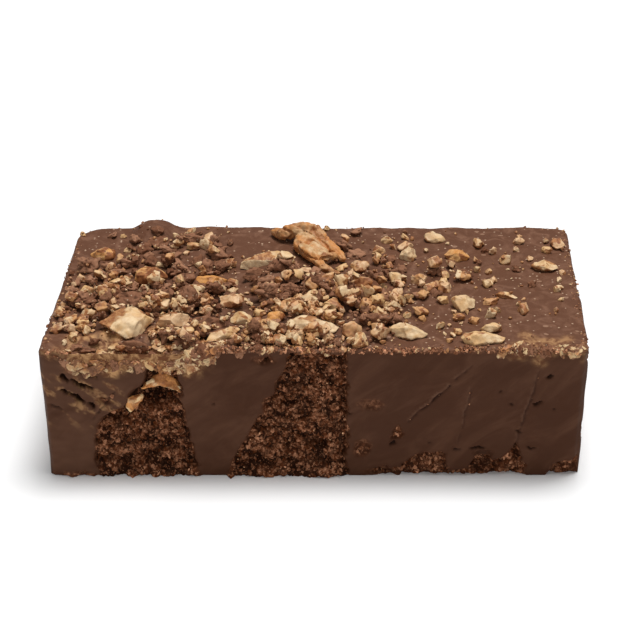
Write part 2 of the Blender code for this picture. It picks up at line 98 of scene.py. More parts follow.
class Side(Enum):
    """The plain cuts: the axis that each faces along, its direction, and its relief's seeds."""

    BACK = (1, 1, 12, 50)
    RIGHT = (0, 1, 8, 51)
    LEFT = (0, -1, 10, 52)


def smooth(value: float, low: float, high: float) -> float:
    """Gives a smooth step.

    Args:
        value: The number to place between the limits.
        low: Where the step starts.
        high: Where the step ends.

    Returns:
        0 below low, 1 above high, and a smooth rise between.
    """
    share = min(1.0, max(0.0, (value - low) / (high - low)))
    return share * share * (3 - 2 * share)


def wave(point: Iterable[float], size: float, seed: float) -> float:
    """Gives smooth noise.

    Args:
        point: Where the noise is read.
        size: How wide its bumps are.
        seed: Which noise this is.

    Returns:
        A value from about -1 to 1.
    """
    return noise.noise(Vector(point) / size + NOISE_STEP * seed)


def waves(point: Iterable[float], *layers: tuple[float, float, float]) -> float:
    """Adds up layers of smooth noise.

    Args:
        point: Where the noise is read.
        layers: How strong each layer is, how wide its bumps are, and its seed.

    Returns:
        The sum.
    """
    return sum(strength * wave(point, size, seed) for strength, size, seed in layers)


def grain(point: Iterable[float], size: float, seed: float) -> float:
    """Gives the relief of packed crumbs.

    Args:
        point: Where the relief is read.
        size: How wide a crumb is.
        seed: Which crumbs these are.

    Returns:
        1 at the middle of a crumb, falling to about 0 between crumbs.
    """
    distances, _ = noise.voronoi(Vector(point) / size + NOISE_STEP * seed)
    return max(0.0, 1 - distances[0] * distances[0] * 2.2)


def off_line(x: float, z: float, start: Point, end: Point) -> tuple[float, float, float]:
    """Compares a point with a straight line.

    Args:
        x: The point's place along the bar.
        z: Its height.
        start: Where the line starts.
        end: Where it ends.

    Returns:
        How far along the line it lies, from 0 to 1, and its offsets from there in x and z.
    """
    (ax, az), (bx, bz) = start, end
    span = (bx - ax) ** 2 + (bz - az) ** 2
    along = min(1.0, max(0.0, ((x - ax) * (bx - ax) + (z - az) * (bz - az)) / span))
    return along, x - ax - along * (bx - ax), z - az - along * (bz - az)


# Shape of the bar -----------------------------------------------------------


@dataclass(frozen=True)
class Mound:
    """A rounded swelling of the top: its middle, reach and height in millimetres."""

    x: float
    y: float
    reach_x: float
    reach_y: float
    height: float

    def rise(self, x: float, y: float) -> float:
        """Height of the swelling at (x, y), in millimetres."""
        away = math.hypot((x - self.x) / self.reach_x, (y - self.y) / self.reach_y)
        return self.height * (1 - smooth(away, 0.25, 1.0))


@dataclass(frozen=True)
class Patch:
    """A torn patch of the front cut, as an outline of (x, z) in millimetres."""

    outline: tuple[Point, ...]
    depth: float = 1.0

    def share(self, x: float, z: float, blur: float) -> float:
        """Tells how far inside the patch a point is.

        Args:
            x: Place along the bar.
            z: Height above its foot.
            blur: Width of the ramp along the outline.

        Returns:
            1 well inside the outline and 0 well outside.
        """
        inside = False
        nearest = math.inf
        for (ax, az), (bx, bz) in zip(self.outline, self.outline[1:] + self.outline[:1]):
            if (az > z) != (bz > z) and x < (bx - ax) * (z - az) / (bz - az) + ax:
                inside = not inside
            nearest = min(nearest, math.hypot(*off_line(x, z, (ax, az), (bx, bz))[1:]))
        return smooth(nearest if inside else -nearest, -blur / 2, blur / 2)


@dataclass(frozen=True)
class Pit:
    """A hollow in the front cut: its middle, half sizes and depth in millimetres.

    lean is how far its long axis leans, in degrees.
    """

    x: float
    z: float
    wide: float
    high: float
    deep: float
    lean: float = 0.0

    def depth(self, x: float, z: float) -> float:
        """Depth of the hollow at (x, z), in millimetres."""
        side, up = math.cos(math.radians(self.lean)), math.sin(math.radians(self.lean))
        along = (x - self.x) * side + (z - self.z) * up
        across = (z - self.z) * side - (x - self.x) * up
        away = math.hypot(along / self.wide, across / self.high)
        return self.deep * (1 - smooth(away, 0.35, 1.1))


@dataclass(frozen=True)
class Score:
    """A crack that the knife left in the front cut, from one (x, z) to another, in millimetres."""

    start: Point
    end: Point
    strength: float = 1.0
    width: float = 0.34

    def share(self, x: float, z: float) -> float:
        """1 on the crack and 0 beside it."""
        along, off_x, off_z = off_line(x, z, self.start, self.end)
        wander = waves((x, 0, z), (0.5, 3.0, 21), (0.3, 0.9, 22))
        gap = math.hypot(off_x + wander, off_z)
        fade = self.strength * (1 - 0.7 * abs(2 * along - 1) ** 3)
        fade *= smooth(wave((x, 0, z), 1.7, 23), -0.6, -0.2)
        return fade * (1 - smooth(gap, 0.2 * self.width, self.width))


@dataclass(frozen=True)
class BarShape:
    """The bar's sizes in metres, and the relief of its faces."""

    length: float = 111.6 * MM
    depth: float = 58 * MM
    height: float = 30 * MM
    taper: float = 1.8 * MM
    back_shift: float = 2.0 * MM
    draft: float = 0.014
    middle: tuple[float, float] = (0.7 * MM, 0.6 * MM)
    edge_radius: float = 1.0 * MM
    corner_radii: tuple[tuple[int, int, float], ...] = (
        (-1, 1, 6.5 * MM),
        (1, 1, 3.0 * MM),
        (-1, -1, 1.2 * MM),
        (1, -1, 2.0 * MM),
    )
    top_swell: float = 0.55 * MM
    top_lumps: float = 0.35 * MM
    cut_swell: float = 0.3 * MM
    tear_depth: float = 1.3 * MM
    tear_crags: float = 0.9 * MM
    crag_size: float = 2.6 * MM
    foot_bulge: float = 1.9 * MM
    roll: tuple[float, float] = (-54 * MM, -22 * MM)  # where the edge is dragged down
    roll_blend: float = 6 * MM
    roll_drop: float = 2.6 * MM
    roll_reach: float = 7 * MM
    mounds: tuple[Mound, ...] = (
        Mound(-36.0, 27.0, 6.5, 9.0, 2.1),
        Mound(-8.0, 4.5, 8.5, 8.0, 1.7),
        Mound(-30.0, -9.0, 15.0, 10.0, 0.8),
    )
    patches: tuple[Patch, ...] = (
        Patch(
            ((-45, -1), (-44.5, 12), (-40, 15.5), (-35, 20))
            + ((-33, 25), (-27.5, 25), (-26, 12), (-23, -1))
        ),
        Patch(((-18.5, -1), (-13, 9), (-4, 28), (7.2, 29), (7.5, -1))),
        Patch(((19, -1), (19, 3), (23, 5.5), (28, 5.5), (29.5, -1)), depth=0.7),
        Patch(((32, -1), (34.5, 4.5), (40, 3.5), (42.5, 8), (45, 2), (45, -1)), depth=0.9),
        Patch(((48, -1), (51, 2.5), (56, 4.5), (57, -1)), depth=0.7),
    )
    pits: tuple[Pit, ...] = (
        Pit(-32.5, 18.5, 5.5, 3.2, 3.6),
        Pit(-41.0, 13.5, 2.8, 1.3, 2.0),
        Pit(1.2, 7.4, 2.6, 1.6, 1.8),
        Pit(-4.9, 17.3, 2.4, 1.2, 1.6),
        Pit(36.0, 5.2, 2.4, 1.0, 1.2),
    )
    scores: tuple[Score, ...] = (
        Score((32.7, 26.3), (20.1, 13.0)),
        Score((33.3, 24.2), (30.6, 7.6), 0.45),
        Score((46.4, 25.3), (42.5, 6.2), 0.55),
        Score((-40.0, 20.5), (-45.0, 13.5), 0.8),
    )
    spots: tuple[Pit, ...] = (
        Pit(17.9, 10.1, 1.3, 1.8, 0.8),
        Pit(10.6, 6.4, 2.3, 2.6, 0.6),
        Pit(12.6, 17.0, 3.2, 1.6, 0.35),
        Pit(-9.5, 27.6, 2.6, 1.2, 0.5),
        Pit(16.0, 1.0, 5.0, 1.2, 0.7),
        Pit(31.0, 0.8, 3.0, 1.0, 0.7),
        Pit(-49.0, 0.3, 6.0, 0.7, 0.6),
        Pit(-42.5, 18.0, 2.0, 0.9, 0.45),
    )
    nicks: tuple[Pit, ...] = (
        Pit(-50.2, 23.4, 1.3, 0.5, 1.2, lean=-35),
        Pit(-47.4, 22.0, 2.3, 0.55, 1.5, lean=-28),
        Pit(-50.3, 20.2, 1.1, 0.45, 1.0, lean=-20),
        Pit(-48.2, 18.7, 2.1, 0.62, 1.6, lean=-32),
        Pit(-45.3, 21.2, 1.0, 0.50, 1.1, lean=-40),
        Pit(-45.2, 17.0, 1.3, 0.40, 1.0, lean=-45),
        Pit(-52.4, 16.6, 1.8, 0.22, 0.5, lean=-30),
        Pit(-44.8, 24.0, 1.4, 0.28, 0.7, lean=-30),
        Pit(-9.0, 27.4, 0.8, 0.6, 1.0),
        Pit(48.8, 24.0, 0.9, 0.4, 0.6),
        Pit(46.9, 17.6, 1.5, 0.35, 0.8),
        Pit(50.2, 16.2, 0.5, 0.3, 0.5),
        Pit(41.3, 17.0, 0.6, 0.25, 0.5),
        Pit(43.0, 10.4, 0.8, 0.3, 0.5),
        Pit(45.9, 6.9, 1.2, 0.3, 0.7),
        Pit(34.8, 7.0, 1.7, 0.35, 0.9),
        Pit(30.2, 6.6, 1.0, 0.35, 0.7),
        Pit(16.6, 7.6, 0.9, 0.5, 0.7),
        Pit(24.5, 8.2, 0.7, 0.25, 0.4),
        Pit(38.6, 20.4, 0.4, 0.2, 0.4),
        Pit(-20.3, 16.8, 0.4, 0.3, 0.4),
        Pit(7.9, 15.2, 0.6, 0.4, 0.5),
    )

    @property
    def cut(self) -> float:
        """Where the front cut lies on Y."""
        return self.middle[1] - self.depth / 2

    def torn(self, x: float, z: float, blur: float = 0.8) -> float:
        """How torn and how deep the front cut is at (x, z) in millimetres, from 0 to 1."""
        ragged = 0.9 * wave((x, 3, z), 3.5, 2)
        fine = waves((x, 3, z), (0.45, 1.2, 25), (0.25, 0.5, 26))
        at_x, at_z = x + ragged + fine, z - ragged + fine
        torn = max(patch.depth * patch.share(at_x, at_z, blur) for patch in self.patches)
        return max(torn, max(spot.depth(at_x, at_z) for spot in self.spots))

    def pitted(self, x: float, z: float) -> float:
        """Depth of the hollows in the front cut at (x, z), all in millimetres."""
        return max(pit.depth(x, z) for pit in self.pits)

    def nicked(self, x: float, z: float) -> float:
        """Depth of the small nicks in the front cut at (x, z), all in millimetres."""
        ragged = waves((x, 0, z), (0.7, 2.2, 24), (0.45, 0.8, 27))
        at_z = z + 0.5 * wave((x, 0, 0), 4.5, 28) + 0.6 * wave((x, 0, z), 1.1, 29)
        return max(nick.depth(x + ragged, at_z) for nick in self.nicks)

    def scored(self, x: float, z: float) -> float:
        """1 on a crack of the front cut and 0 elsewhere, at (x, z) in millimetres."""
        return max(score.share(x, z) for score in self.scores)

    def top_rise(self, x: float, y: float) -> float:
        """How far the top stands above its mean height at (x, y)."""
        rise = waves((x, y, 0), (self.top_swell, 24 * MM, 1), (self.top_lumps, 7 * MM, 4))
        rise += sum(mound.rise(x / MM, y / MM) for mound in self.mounds) * MM
        start, end = self.roll
        blend = self.roll_blend
        along = smooth(x, start, start + blend) * (1 - smooth(x, end - blend, end))
        return rise - self.roll_drop * along * smooth(-y, -self.cut - self.roll_reach, -self.cut)

    def front_rise(self, x: float, z: float, torn: float) -> float:
        """How far the front cut stands out at (x, z), given how torn it is there."""
        crags = waves((x, 0, z), (1, self.crag_size, 5), (0.6, 5 * MM, 6))
        rise = self.cut_swell * wave((x, 0, z), 22 * MM, 7)
        rise += torn * (self.tear_crags * crags - self.tear_depth)
        foot = 1 - smooth(z, 0, 4 * MM)
        rise += self.foot_bulge * foot * torn * smooth(-x, -14 * MM, -6 * MM)
        return rise - self.pitted(x / MM, z / MM) * MM

    def side_rise(self, point: Vector, seed: float) -> float:
        """Relief of the plain cuts at the back and the two ends."""
        return waves(point, (self.cut_swell, 20 * MM, seed), (0.16 * MM, 5 * MM, seed + 1))

    def rounded(self, x: float, y: float) -> Point:
        """(x, y) of the plain box, drawn in at its four upright corners."""
        for side_x, side_y, radius in self.corner_radii:
            dx = side_x * x - (self.length / 2 - radius)
            dy = side_y * y - (self.depth / 2 - radius)
            if dx > 0 and dy > 0:
                share = max(dx, dy) / math.hypot(dx, dy)
                x = side_x * (self.length / 2 - radius + dx * share)
                y = side_y * (self.depth / 2 - radius + dy * share)
                break
        return x, y


# Toppings -------------------------------------------------------------------


@dataclass(frozen=True)
class Chip:
    """A piece of topping: place, sizes and angles as in the layout, in millimetres and degrees."""

    kind: Kind
    x: float
    y: float
    length: float
    width: float
    height: float
    turn: float = 0.0
    sink: float = 0.3


@dataclass(frozen=True)
class Drift:
    """A part of the top where the small topping lies thick, in millimetres."""

    x: float
    y: float
    reach_x: float
    reach_y: float
    weight: float

    def share(self, x: float, y: float) -> float:
        """How thick the topping lies at (x, y) in millimetres, from 0 to 1."""
        away = math.hypot((x - self.x) / self.reach_x, (y - self.y) / self.reach_y)
        return self.weight * math.exp(-away * away)


@dataclass(frozen=True)
class Scatter:
    """One kind of small topping that is fused to the bar, with its sizes in millimetres."""

    kind: Kind
    seed: int
    tries: int
    smallest: float
    largest: float
    evenness: float


DRIFTS = (
    Drift(-34, -8, 19, 18, 1.0),
    Drift(2, -8, 20, 18, 0.9),
    Drift(-12, -24, 28, 8, 0.9),
    Drift(-28, 21, 6, 4, 0.7),
    Drift(24, 4, 16, 14, 0.35),
)

SCATTERS = (
    Scatter(Kind.CHOCOLATE, 37, 260, 2.0, 3.4, 0.02),
    Scatter(Kind.CREAM, 11, 170, 1.7, 2.6, 0.06),
    Scatter(Kind.TAN, 23, 60, 1.6, 2.4, 0.06),
)

FUSED_CHIPS = (
    Chip(Kind.CREAM, 8.8, -26.0, 3.9, 3.4, 3.2, turn=30),
    Chip(Kind.CREAM, -7.3, -25.4, 3.3, 3.0, 2.8),
    Chip(Kind.CREAM, -49.1, -3.8, 3.9, 3.8, 2.9, turn=15),
    Chip(Kind.CREAM, -42.9, 0.6, 4.2, 3.0, 2.5, turn=50),
    Chip(Kind.CREAM, -25.3, 8.6, 3.6, 2.6, 2.2, turn=-35),
    Chip(Kind.CREAM, 3.2, -10.8, 3.9, 3.6, 2.8, turn=10),
    Chip(Kind.CREAM, 7.6, -8.6, 3.0, 3.0, 2.6, turn=60),
    Chip(Kind.CREAM, 4.9, -0.4, 4.4, 2.4, 1.9, turn=-8),
    Chip(Kind.CREAM, 20.3, 14.0, 4.0, 3.4, 3.6),
    Chip(Kind.CREAM, 15.9, 22.1, 2.7, 2.5, 2.0, turn=25),
    Chip(Kind.TAN, -45.3, -10.4, 3.9, 2.8, 2.4, turn=-12),
    Chip(Kind.TAN, -1.8, 4.4, 4.0, 2.1, 2.0, turn=-28),
    Chip(Kind.TAN, 13.9, 16.6, 3.4, 2.4, 2.2, turn=42),
    Chip(Kind.TAN, 22.7, 2.6, 4.2, 3.4, 2.8, turn=35),
    Chip(Kind.TAN, 27.6, -1.6, 3.3, 2.8, 2.4, turn=10),
    Chip(Kind.TAN, 36.8, -8.4, 3.3, 2.5, 2.0, turn=20),
    Chip(Kind.TAN, 54.0, 19.3, 3.4, 4.4, 2.2, turn=10),
    Chip(Kind.CREAM, 14.4, -9.7, 3.0, 2.4, 2.0, turn=15),
    Chip(Kind.CREAM, 14.0, -0.5, 3.0, 2.4, 2.0, turn=-20),
    Chip(Kind.CREAM, 40.6, -5.1, 5.0, 2.2, 1.6, turn=-20),
    Chip(Kind.CREAM, 51.2, 16.5, 2.6, 2.0, 1.8),
    Chip(Kind.TAN, 45.3, 20.6, 2.6, 2.2, 1.8, turn=40),
)

FUDGE_SLABS = (
    Chip(Kind.CHOCOLATE, -39.0, -8.2, 7.6, 4.6, 3.4, turn=8),
    Chip(Kind.CHOCOLATE, -22.9, -18.2, 8.6, 4.0, 3.2, turn=14),
    Chip(Kind.CHOCOLATE, -5.6, -2.6, 5.0, 4.2, 3.0, turn=-10),
    Chip(Kind.CHOCOLATE, -31.4, -7.6, 4.6, 5.0, 3.4, turn=25),
    Chip(Kind.CHOCOLATE, -28.4, 2.2, 5.2, 4.6, 3.0, turn=5),
    Chip(Kind.CHOCOLATE, -28.6, 21.0, 5.6, 4.2, 2.6, turn=10),
    Chip(Kind.CHOCOLATE, -37.4, -25.0, 6.4, 3.6, 3.4),
    Chip(Kind.CHOCOLATE, -13.4, 3.6, 6.0, 4.4, 2.6, turn=35),
)

NUT_LOOKS = {  # the nuts that look unlike the others of their slot
    "toast_back_left": "toast",
    "toast_long": "toast",
    "toast_middle": "toast",
    "toast_right": "toast",
    "walnut_left": "toast",
    # painted light: these two nuts sit in shade at the front and get a brightened finish
    "walnut_over_hollow": "painted_light",
    "walnut_tip": "painted_light",
    "walnut_kernel": "kernel",
}
SKIN_SIDES = {"walnut_front_left": (-1.0, 0.3, 0.0), "walnut_left": (0.5, -0.8, 0.0)}


def thickness(x: float, y: float) -> float:
    """How thick the small topping lies at (x, y) in metres, from 0 to 1."""
    return max(drift.share(x / MM, y / MM) for drift in DRIFTS)


# Nodes and materials --------------------------------------------------------


class NodeBoard:
    """Places and wires nodes in one node tree."""

    def __init__(self, tree: NodeTree) -> None:
        """Keeps the tree.

        Args:
            tree: The node tree to work on.
        """
        self.tree = tree

    def feed(self, socket: Socket, value: object) -> None:
        """Links another socket into this one, or sets its value.

        Args:
            socket: The input.
            value: An output socket, a number, or a colour.
        """
        if isinstance(value, Socket):
            self.tree.links.new(value, socket)
        elif isinstance(value, tuple) and len(value) == 3 and socket.type == "RGBA":
            socket.default_value = (*value, 1.0)
        else:
            socket.default_value = value

    def add(
        self, kind: str, feeds: dict[str | int, object] | None = None, **settings: object
    ) -> Node:
        """Adds a node.

        Args:
            kind: The node's type.
            feeds: What goes into its inputs, by name or number.
            settings: Its own settings.

        Returns:
            The node.
        """
        node = self.tree.nodes.new(kind)
        for name, value in settings.items():
            setattr(node, name, value)
        for name, value in (feeds or {}).items():
            self.feed(node.inputs[name], value)
        return node

    def group(self, tree: NodeTree, **feeds: object) -> Node:
        """Places a node group.

        Args:
            tree: The group.
            feeds: What goes into its inputs, with _ for a space in a name.

        Returns:
            The group's node.
        """
        node = self.add("ShaderNodeGroup", node_tree=tree)
        for name, value in feeds.items():
            self.feed(node.inputs[name.replace("_", " ")], value)
        return node

    def mix(self, factor: object, first: object, second: object) -> Socket:
        """Mixes two colours.

        Args:
            factor: Share of the second.
            first: The colour at 0.
            second: The colour at 1.

        Returns:
            The mixed colour.
        """
        feeds = {0: factor, 6: first, 7: second}
        return self.add("ShaderNodeMix", feeds, data_type="RGBA").outputs[2]

    def maths(self, operation: str, first: object, second: object, clamp: bool = False) -> Socket:
        """Works out one number from two.

        Args:
            operation: What is done.
            first: The first number.
            second: The second number.
            clamp: Whether the result is kept from 0 to 1.

        Returns:
            The result.
        """
        feeds = {0: first, 1: second}
        return self.add("ShaderNodeMath", feeds, operation=operation, use_clamp=clamp).outputs[0]

    def scaled(self, value: object, factor: float) -> Socket:
        """A number times a factor."""
        return self.maths("MULTIPLY", value, factor)

    def ramp(self, value: object, low: object, high: object) -> Socket:
        """Maps a range smoothly onto 0 to 1.

        Args:
            value: The number.
            low: Where the range starts.
            high: Where it ends.

        Returns:
            The mapped number.
        """
        feeds = {"Value": value, "From Min": low, "From Max": high}
        node = self.add("ShaderNodeMapRange", feeds, interpolation_type="SMOOTHSTEP")
        return node.outputs["Result"]

    def cloud(self, place: Socket, scale: object, detail: float, **more: object) -> Socket:
        """Makes soft noise.

        Args:
            place: Where it is read.
            scale: How fine it is.
            detail: How many finer layers it has.
            more: What goes into its other inputs.

        Returns:
            The noise, from 0 to 1.
        """
        feeds = {"Vector": place, "Scale": scale, "Detail": detail, **more}
        return self.add("ShaderNodeTexNoise", feeds).outputs["Fac"]

    def emboss(self, shader: Node, height: Socket, strength: float, distance: float) -> None:
        """Gives a shader relief.

        Args:
            shader: The shader.
            height: How high each point stands.
            strength: How much of the relief shows.
            distance: Its greatest height.
        """
        feeds = {"Strength": strength, "Distance": distance, "Height": height}
        self.feed(shader.inputs["Normal"], self.add("ShaderNodeBump", feeds).outputs[0])

    def attribute(self, name: str) -> Socket:
        """A number that the mesh carries at each point."""
        return self.add("ShaderNodeAttribute", attribute_name=name).outputs["Fac"]

    def place(self) -> Socket:
        """The point's own place on the object."""
        return self.add("ShaderNodeTexCoord").outputs["Object"]


@dataclass(frozen=True)
class Marbling:
    """How two colours run into each other: how fine, how bent and how sharp the streaks are."""

    scale: float
    warp: float
    low: float
    high: float


@dataclass(frozen=True)
class Dusting:
    """How nut dust lies: how fine it is, and how much there is."""

    scale: float
    amount: float


class GroupShelf:
    """The node groups that several materials share, each built once."""

    def __init__(self) -> None:
        """Builds the groups."""
        self.grain = self._grain()
        self.marble = self._marble()
        self.dusting = self._dusting()

    def marbled(
        self, board: NodeBoard, place: Socket, look: Marbling, first: object, second: object
    ) -> Node:
        """Lets two colours run into each other.

        Args:
            board: Where the group is placed.
            place: Where it is read.
            look: How the colours run.
            first: One colour.
            second: The other.

        Returns:
            The group's node.
        """
        return board.group(
            self.marble,
            Vector=place,
            Scale=look.scale,
            Warp=look.warp,
            Low=look.low,
            High=look.high,
            First=first,
            Second=second,
        )

    def dusted(
        self, board: NodeBoard, place: Socket, look: Dusting, base: object, dust: Colour
    ) -> Socket:
        """Dusts a colour with fine nut.

        Args:
            board: Where the group is placed.
            place: Where it is read.
            look: How the dust lies.
            base: The colour under it.
            dust: The dust's colour.

        Returns:
            The dusted colour.
        """
        node = board.group(
            self.dusting, Vector=place, Scale=look.scale, Amount=look.amount, Base=base, Dust=dust
        )
        return node.outputs["Color"]

    def grains(self, board: NodeBoard, place: Socket, scale: float, softness: float) -> Socket:
        """Gives the height of packed crumbs.

        Args:
            board: Where the group is placed.
            place: Where it is read.
            scale: How fine the crumbs are.
            softness: Share of the soft swell in the height.

        Returns:
            The height.
        """
        node = board.group(self.grain, Vector=place, Scale=scale, Softness=softness)
        return node.outputs["Height"]

    @staticmethod
    def _blank(
        name: str, inputs: dict[str, object], outputs: Iterable[str]
    ) -> tuple[NodeTree, NodeBoard, Node, Node]:
        """Makes an empty group.

        Args:
            name: The group's name.
            inputs: Default of each input, by name: a number, a colour, or None for a place.
            outputs: Name of each output: Color is a colour, and the others are numbers.

        Returns:
            The tree, a board on it, its input node and its output node.
        """
        tree = bpy.data.node_groups.new(name, "ShaderNodeTree")
        kinds = {float: "NodeSocketFloat", tuple: "NodeSocketColor"}
        for label, value in inputs.items():
            kind = kinds.get(type(value), "NodeSocketVector")
            socket = tree.interface.new_socket(label, in_out="INPUT", socket_type=kind)
            if value is not None:
                socket.default_value = value
        for label in outputs:
            kind = kinds[tuple if label == "Color" else float]
            tree.interface.new_socket(label, in_out="OUTPUT", socket_type=kind)
        board = NodeBoard(tree)
        return tree, board, board.add("NodeGroupInput"), board.add("NodeGroupOutput")

    def _grain(self) -> NodeTree:
        """Packed crumbs over a soft swell, as a height."""
        inputs = {"Vector": None, "Scale": 1500.0, "Softness": 0.5}
        tree, board, given, out = self._blank("crumb_grain", inputs, ("Height",))
        vector, scale, softness = given.outputs[:3]
        swell = board.cloud(vector, scale, 3.0, Roughness=0.6)
        cells = board.add("ShaderNodeTexVoronoi", {"Vector": vector, "Scale": scale})
        crumbs = board.maths("SUBTRACT", 1.0, cells.outputs["Distance"])
        height = board.add("ShaderNodeMix", {0: softness, 2: crumbs, 3: swell})
        board.feed(out.inputs["Height"], height.outputs[0])
        return tree

    def _marble(self) -> NodeTree:
        """Two colours run into each other in streaks: a colour and the mask behind it."""
        inputs = {
            "Vector": None,
            "Scale": 200.0,
            "Warp": 1.0,
            "Low": 0.4,
            "High": 0.6,
            "First": (0.1, 0.1, 0.1, 1),
            "Second": (0.5, 0.5, 0.5, 1),
        }
        tree, board, given, out = self._blank("marbling", inputs, ("Color", "Mask"))
        vector, scale, warp, low, high, first, second = given.outputs[:7]
        streaks = board.cloud(vector, scale, 5.0, Roughness=0.6, Distortion=warp)
        mask = board.ramp(streaks, low, high)
        board.feed(out.inputs["Mask"], mask)
        board.feed(out.inputs["Color"], board.mix(mask, first, second))
        return tree

    def _dusting(self) -> NodeTree:
        """Fine pale specks of nut dust that stick to a colour."""
        inputs = {
            "Vector": None,
            "Scale": 900.0,
            "Amount": 0.1,
            "Base": (0.1, 0.05, 0.03, 1),
            "Dust": (0.5, 0.35, 0.2, 1),
        }
        tree, board, given, out = self._blank("nut_dust", inputs, ("Color",))
        vector, scale, amount, base, dust = given.outputs[:5]
        cells = board.add("ShaderNodeTexVoronoi", {"Vector": vector, "Scale": scale})
        near = board.maths("LESS_THAN", cells.outputs["Distance"], 0.28)
        pick = board.add("ShaderNodeSeparateColor", {0: cells.outputs["Color"]})
        few = board.maths("LESS_THAN", pick.outputs[0], amount)
        mask = board.maths("MULTIPLY", near, few)
        board.feed(out.inputs["Color"], board.mix(mask, base, dust))
        return tree


def new_material(
    name: str, roughness: float, sheen: float = 0.5
) -> tuple[Material, NodeBoard, Node]:
    """Makes a material with a plain Principled shader.

    Args:
        name: The material's name.
        roughness: How dull it is before anything feeds that socket.
        sheen: How much it mirrors, where 0.5 is an everyday surface.

    Returns:
        The material, a board on its tree, and the shader.
    """
    made = bpy.data.materials.new(name)
    made.use_nodes = True
    shader = made.node_tree.nodes["Principled BSDF"]
    shader.inputs["Roughness"].default_value = roughness
    shader.inputs["Metallic"].default_value = 0.0
    shader.inputs["Specular IOR Level"].default_value = sheen
    return made, NodeBoard(made.node_tree), shader


@dataclass(frozen=True)
class FudgeFinish:
    """The bar's own finish: a smeared cut, torn patches, and a top dusted with nut, with painted
    shade in its pits, cracks and gaps.
    """

    cut: Colour = (0.061, 0.0218, 0.0098)
    cut_pale: Colour = (0.098, 0.041, 0.0215)
    bloom: Colour = (0.132, 0.062, 0.036)
    torn: Colour = (0.110, 0.031, 0.010)
    torn_pale: Colour = (0.52, 0.225, 0.115)
    top: Colour = (0.120, 0.051, 0.028)
    top_pale: Colour = (0.195, 0.095, 0.057)
    # painted shade: the near-black colour of pits, cracks and gaps
    crevice_shade: Colour = (0.012, 0.003, 0.001)
    stain: Colour = (0.58, 0.320, 0.140)
    stain_deep: Colour = (0.17, 0.062, 0.024)
    dust: Colour = (0.42, 0.28, 0.19)
    top_fleck: Colour = (0.27, 0.15, 0.095)
    sheen: float = 0.08
    streak_angle: float = math.radians(-38)
    cut_streaks: Marbling = Marbling(210.0, 0.8, 0.42, 0.8)
    torn_streaks: Marbling = Marbling(1100.0, 0.4, 0.45, 0.7)
    top_streaks: Marbling = Marbling(300.0, 1.0, 0.42, 0.75)
    stain_streaks: Marbling = Marbling(430.0, 1.4, 0.38, 0.64)
    dusting: Dusting = Dusting(1300.0, 0.12)
    flecks: Dusting = Dusting(700.0, 0.06)

    def build(self, shelf: GroupShelf) -> Material:
        """Builds the material.

        Args:
            shelf: The shared node groups.

        Returns:
            The material.
        """
        made, board, shader = new_material("fudge", 0.5, self.sheen)
        place = board.place()
        marks = {name: board.attribute(name) for name in BAR_MARKS}
        feeds = {"Vector": place, "Rotation": (0, self.streak_angle, 0), "Scale": (3.0, 1.0, 1.0)}
        long_place = board.add("ShaderNodeMapping", feeds, vector_type="TEXTURE").outputs[0]
        cut = shelf.marbled(board, long_place, self.cut_streaks, self.cut, self.cut_pale)
        ripped = shelf.marbled(board, place, self.torn_streaks, self.torn, self.torn_pale)
        upper = shelf.marbled(board, place, self.top_streaks, self.top, self.top_pale)
        paste = shelf.marbled(board, place, self.stain_streaks, self.stain_deep, self.stain)
        dusted = shelf.dusted(board, place, self.dusting, upper.outputs["Color"], self.dust)
        flecked = shelf.dusted(board, long_place, self.flecks, dusted, self.top_fleck)
        colour = board.mix(marks["bloom"], cut.outputs["Color"], self.bloom)
        colour = board.mix(marks["top"], colour, flecked)
        colour = board.mix(marks["torn"], colour, ripped.outputs["Color"])
        colour = board.mix(marks["stain"], colour, paste.outputs["Color"])
        # painted shade: darkens pits, nicks, cracks, gaps between crumbs, and the top between crumbs
        colour = board.mix(marks["hollow"], colour, self.crevice_shade)
        board.feed(shader.inputs["Base Color"], colour)

        crumbs = shelf.grains(board, place, 1700.0, 0.35)
        soft = board.cloud(long_place, 900.0, 5.0)
        grainy = board.maths("MAXIMUM", marks["torn"], board.scaled(marks["top"], 0.5))
        crumbly = board.maths("MULTIPLY", grainy, crumbs)
        board.emboss(shader, board.maths("ADD", crumbly, board.scaled(soft, 0.35)), 0.5, 0.0004)
        mottled = board.maths("ADD", 0.5, board.scaled(upper.outputs["Mask"], 0.12))
        dull = board.maths("ADD", mottled, board.scaled(marks["torn"], 0.25), True)
        board.feed(shader.inputs["Roughness"], dull)
        return made


@dataclass(frozen=True)
class CrumbFinish:
    """Broken fudge: dark in some crumbs and reddish in others, with a little nut dust and painted
    shade in its creases.
    """

    name: str = "fudge_crumb"
    dark: Colour = (0.145, 0.055, 0.027)
    pale: Colour = (0.36, 0.178, 0.102)
    dust: Colour = (0.45, 0.32, 0.22)
    dusting: Dusting = Dusting(1500.0, 0.09)
    roughness: float = 0.75
    sheen: float = 0.06
    streaks: Marbling = Marbling(1100.0, 0.5, 0.42, 0.7)

    def build(self, shelf: GroupShelf) -> Material:
        """Builds the material.

        Args:
            shelf: The shared node groups.

        Returns:
            The material.
        """
        made, board, shader = new_material(self.name, self.roughness, self.sheen)
        place = board.place()
        # on the torn grains this tint also carries painted light and shade: paler where they stand
        # out, darker where they lie deep
        base = board.mix(board.attribute("tint_and_shade"), self.dark, self.pale)
        streaked = shelf.marbled(board, place, self.streaks, base, self.pale)
        softened = board.mix(0.5, base, streaked.outputs["Color"])
        dusted = shelf.dusted(board, place, self.dusting, softened, self.dust)
        # painted shade: creases darkened towards a deeper brown
        deep = board.scaled(board.attribute("hollow"), 0.7)
        colour = board.mix(deep, dusted, tuple(0.3 * c for c in self.dark))
        board.feed(shader.inputs["Base Color"], colour)
        board.emboss(shader, shelf.grains(board, place, 2200.0, 0.5), 0.5, 0.0002)
        return made


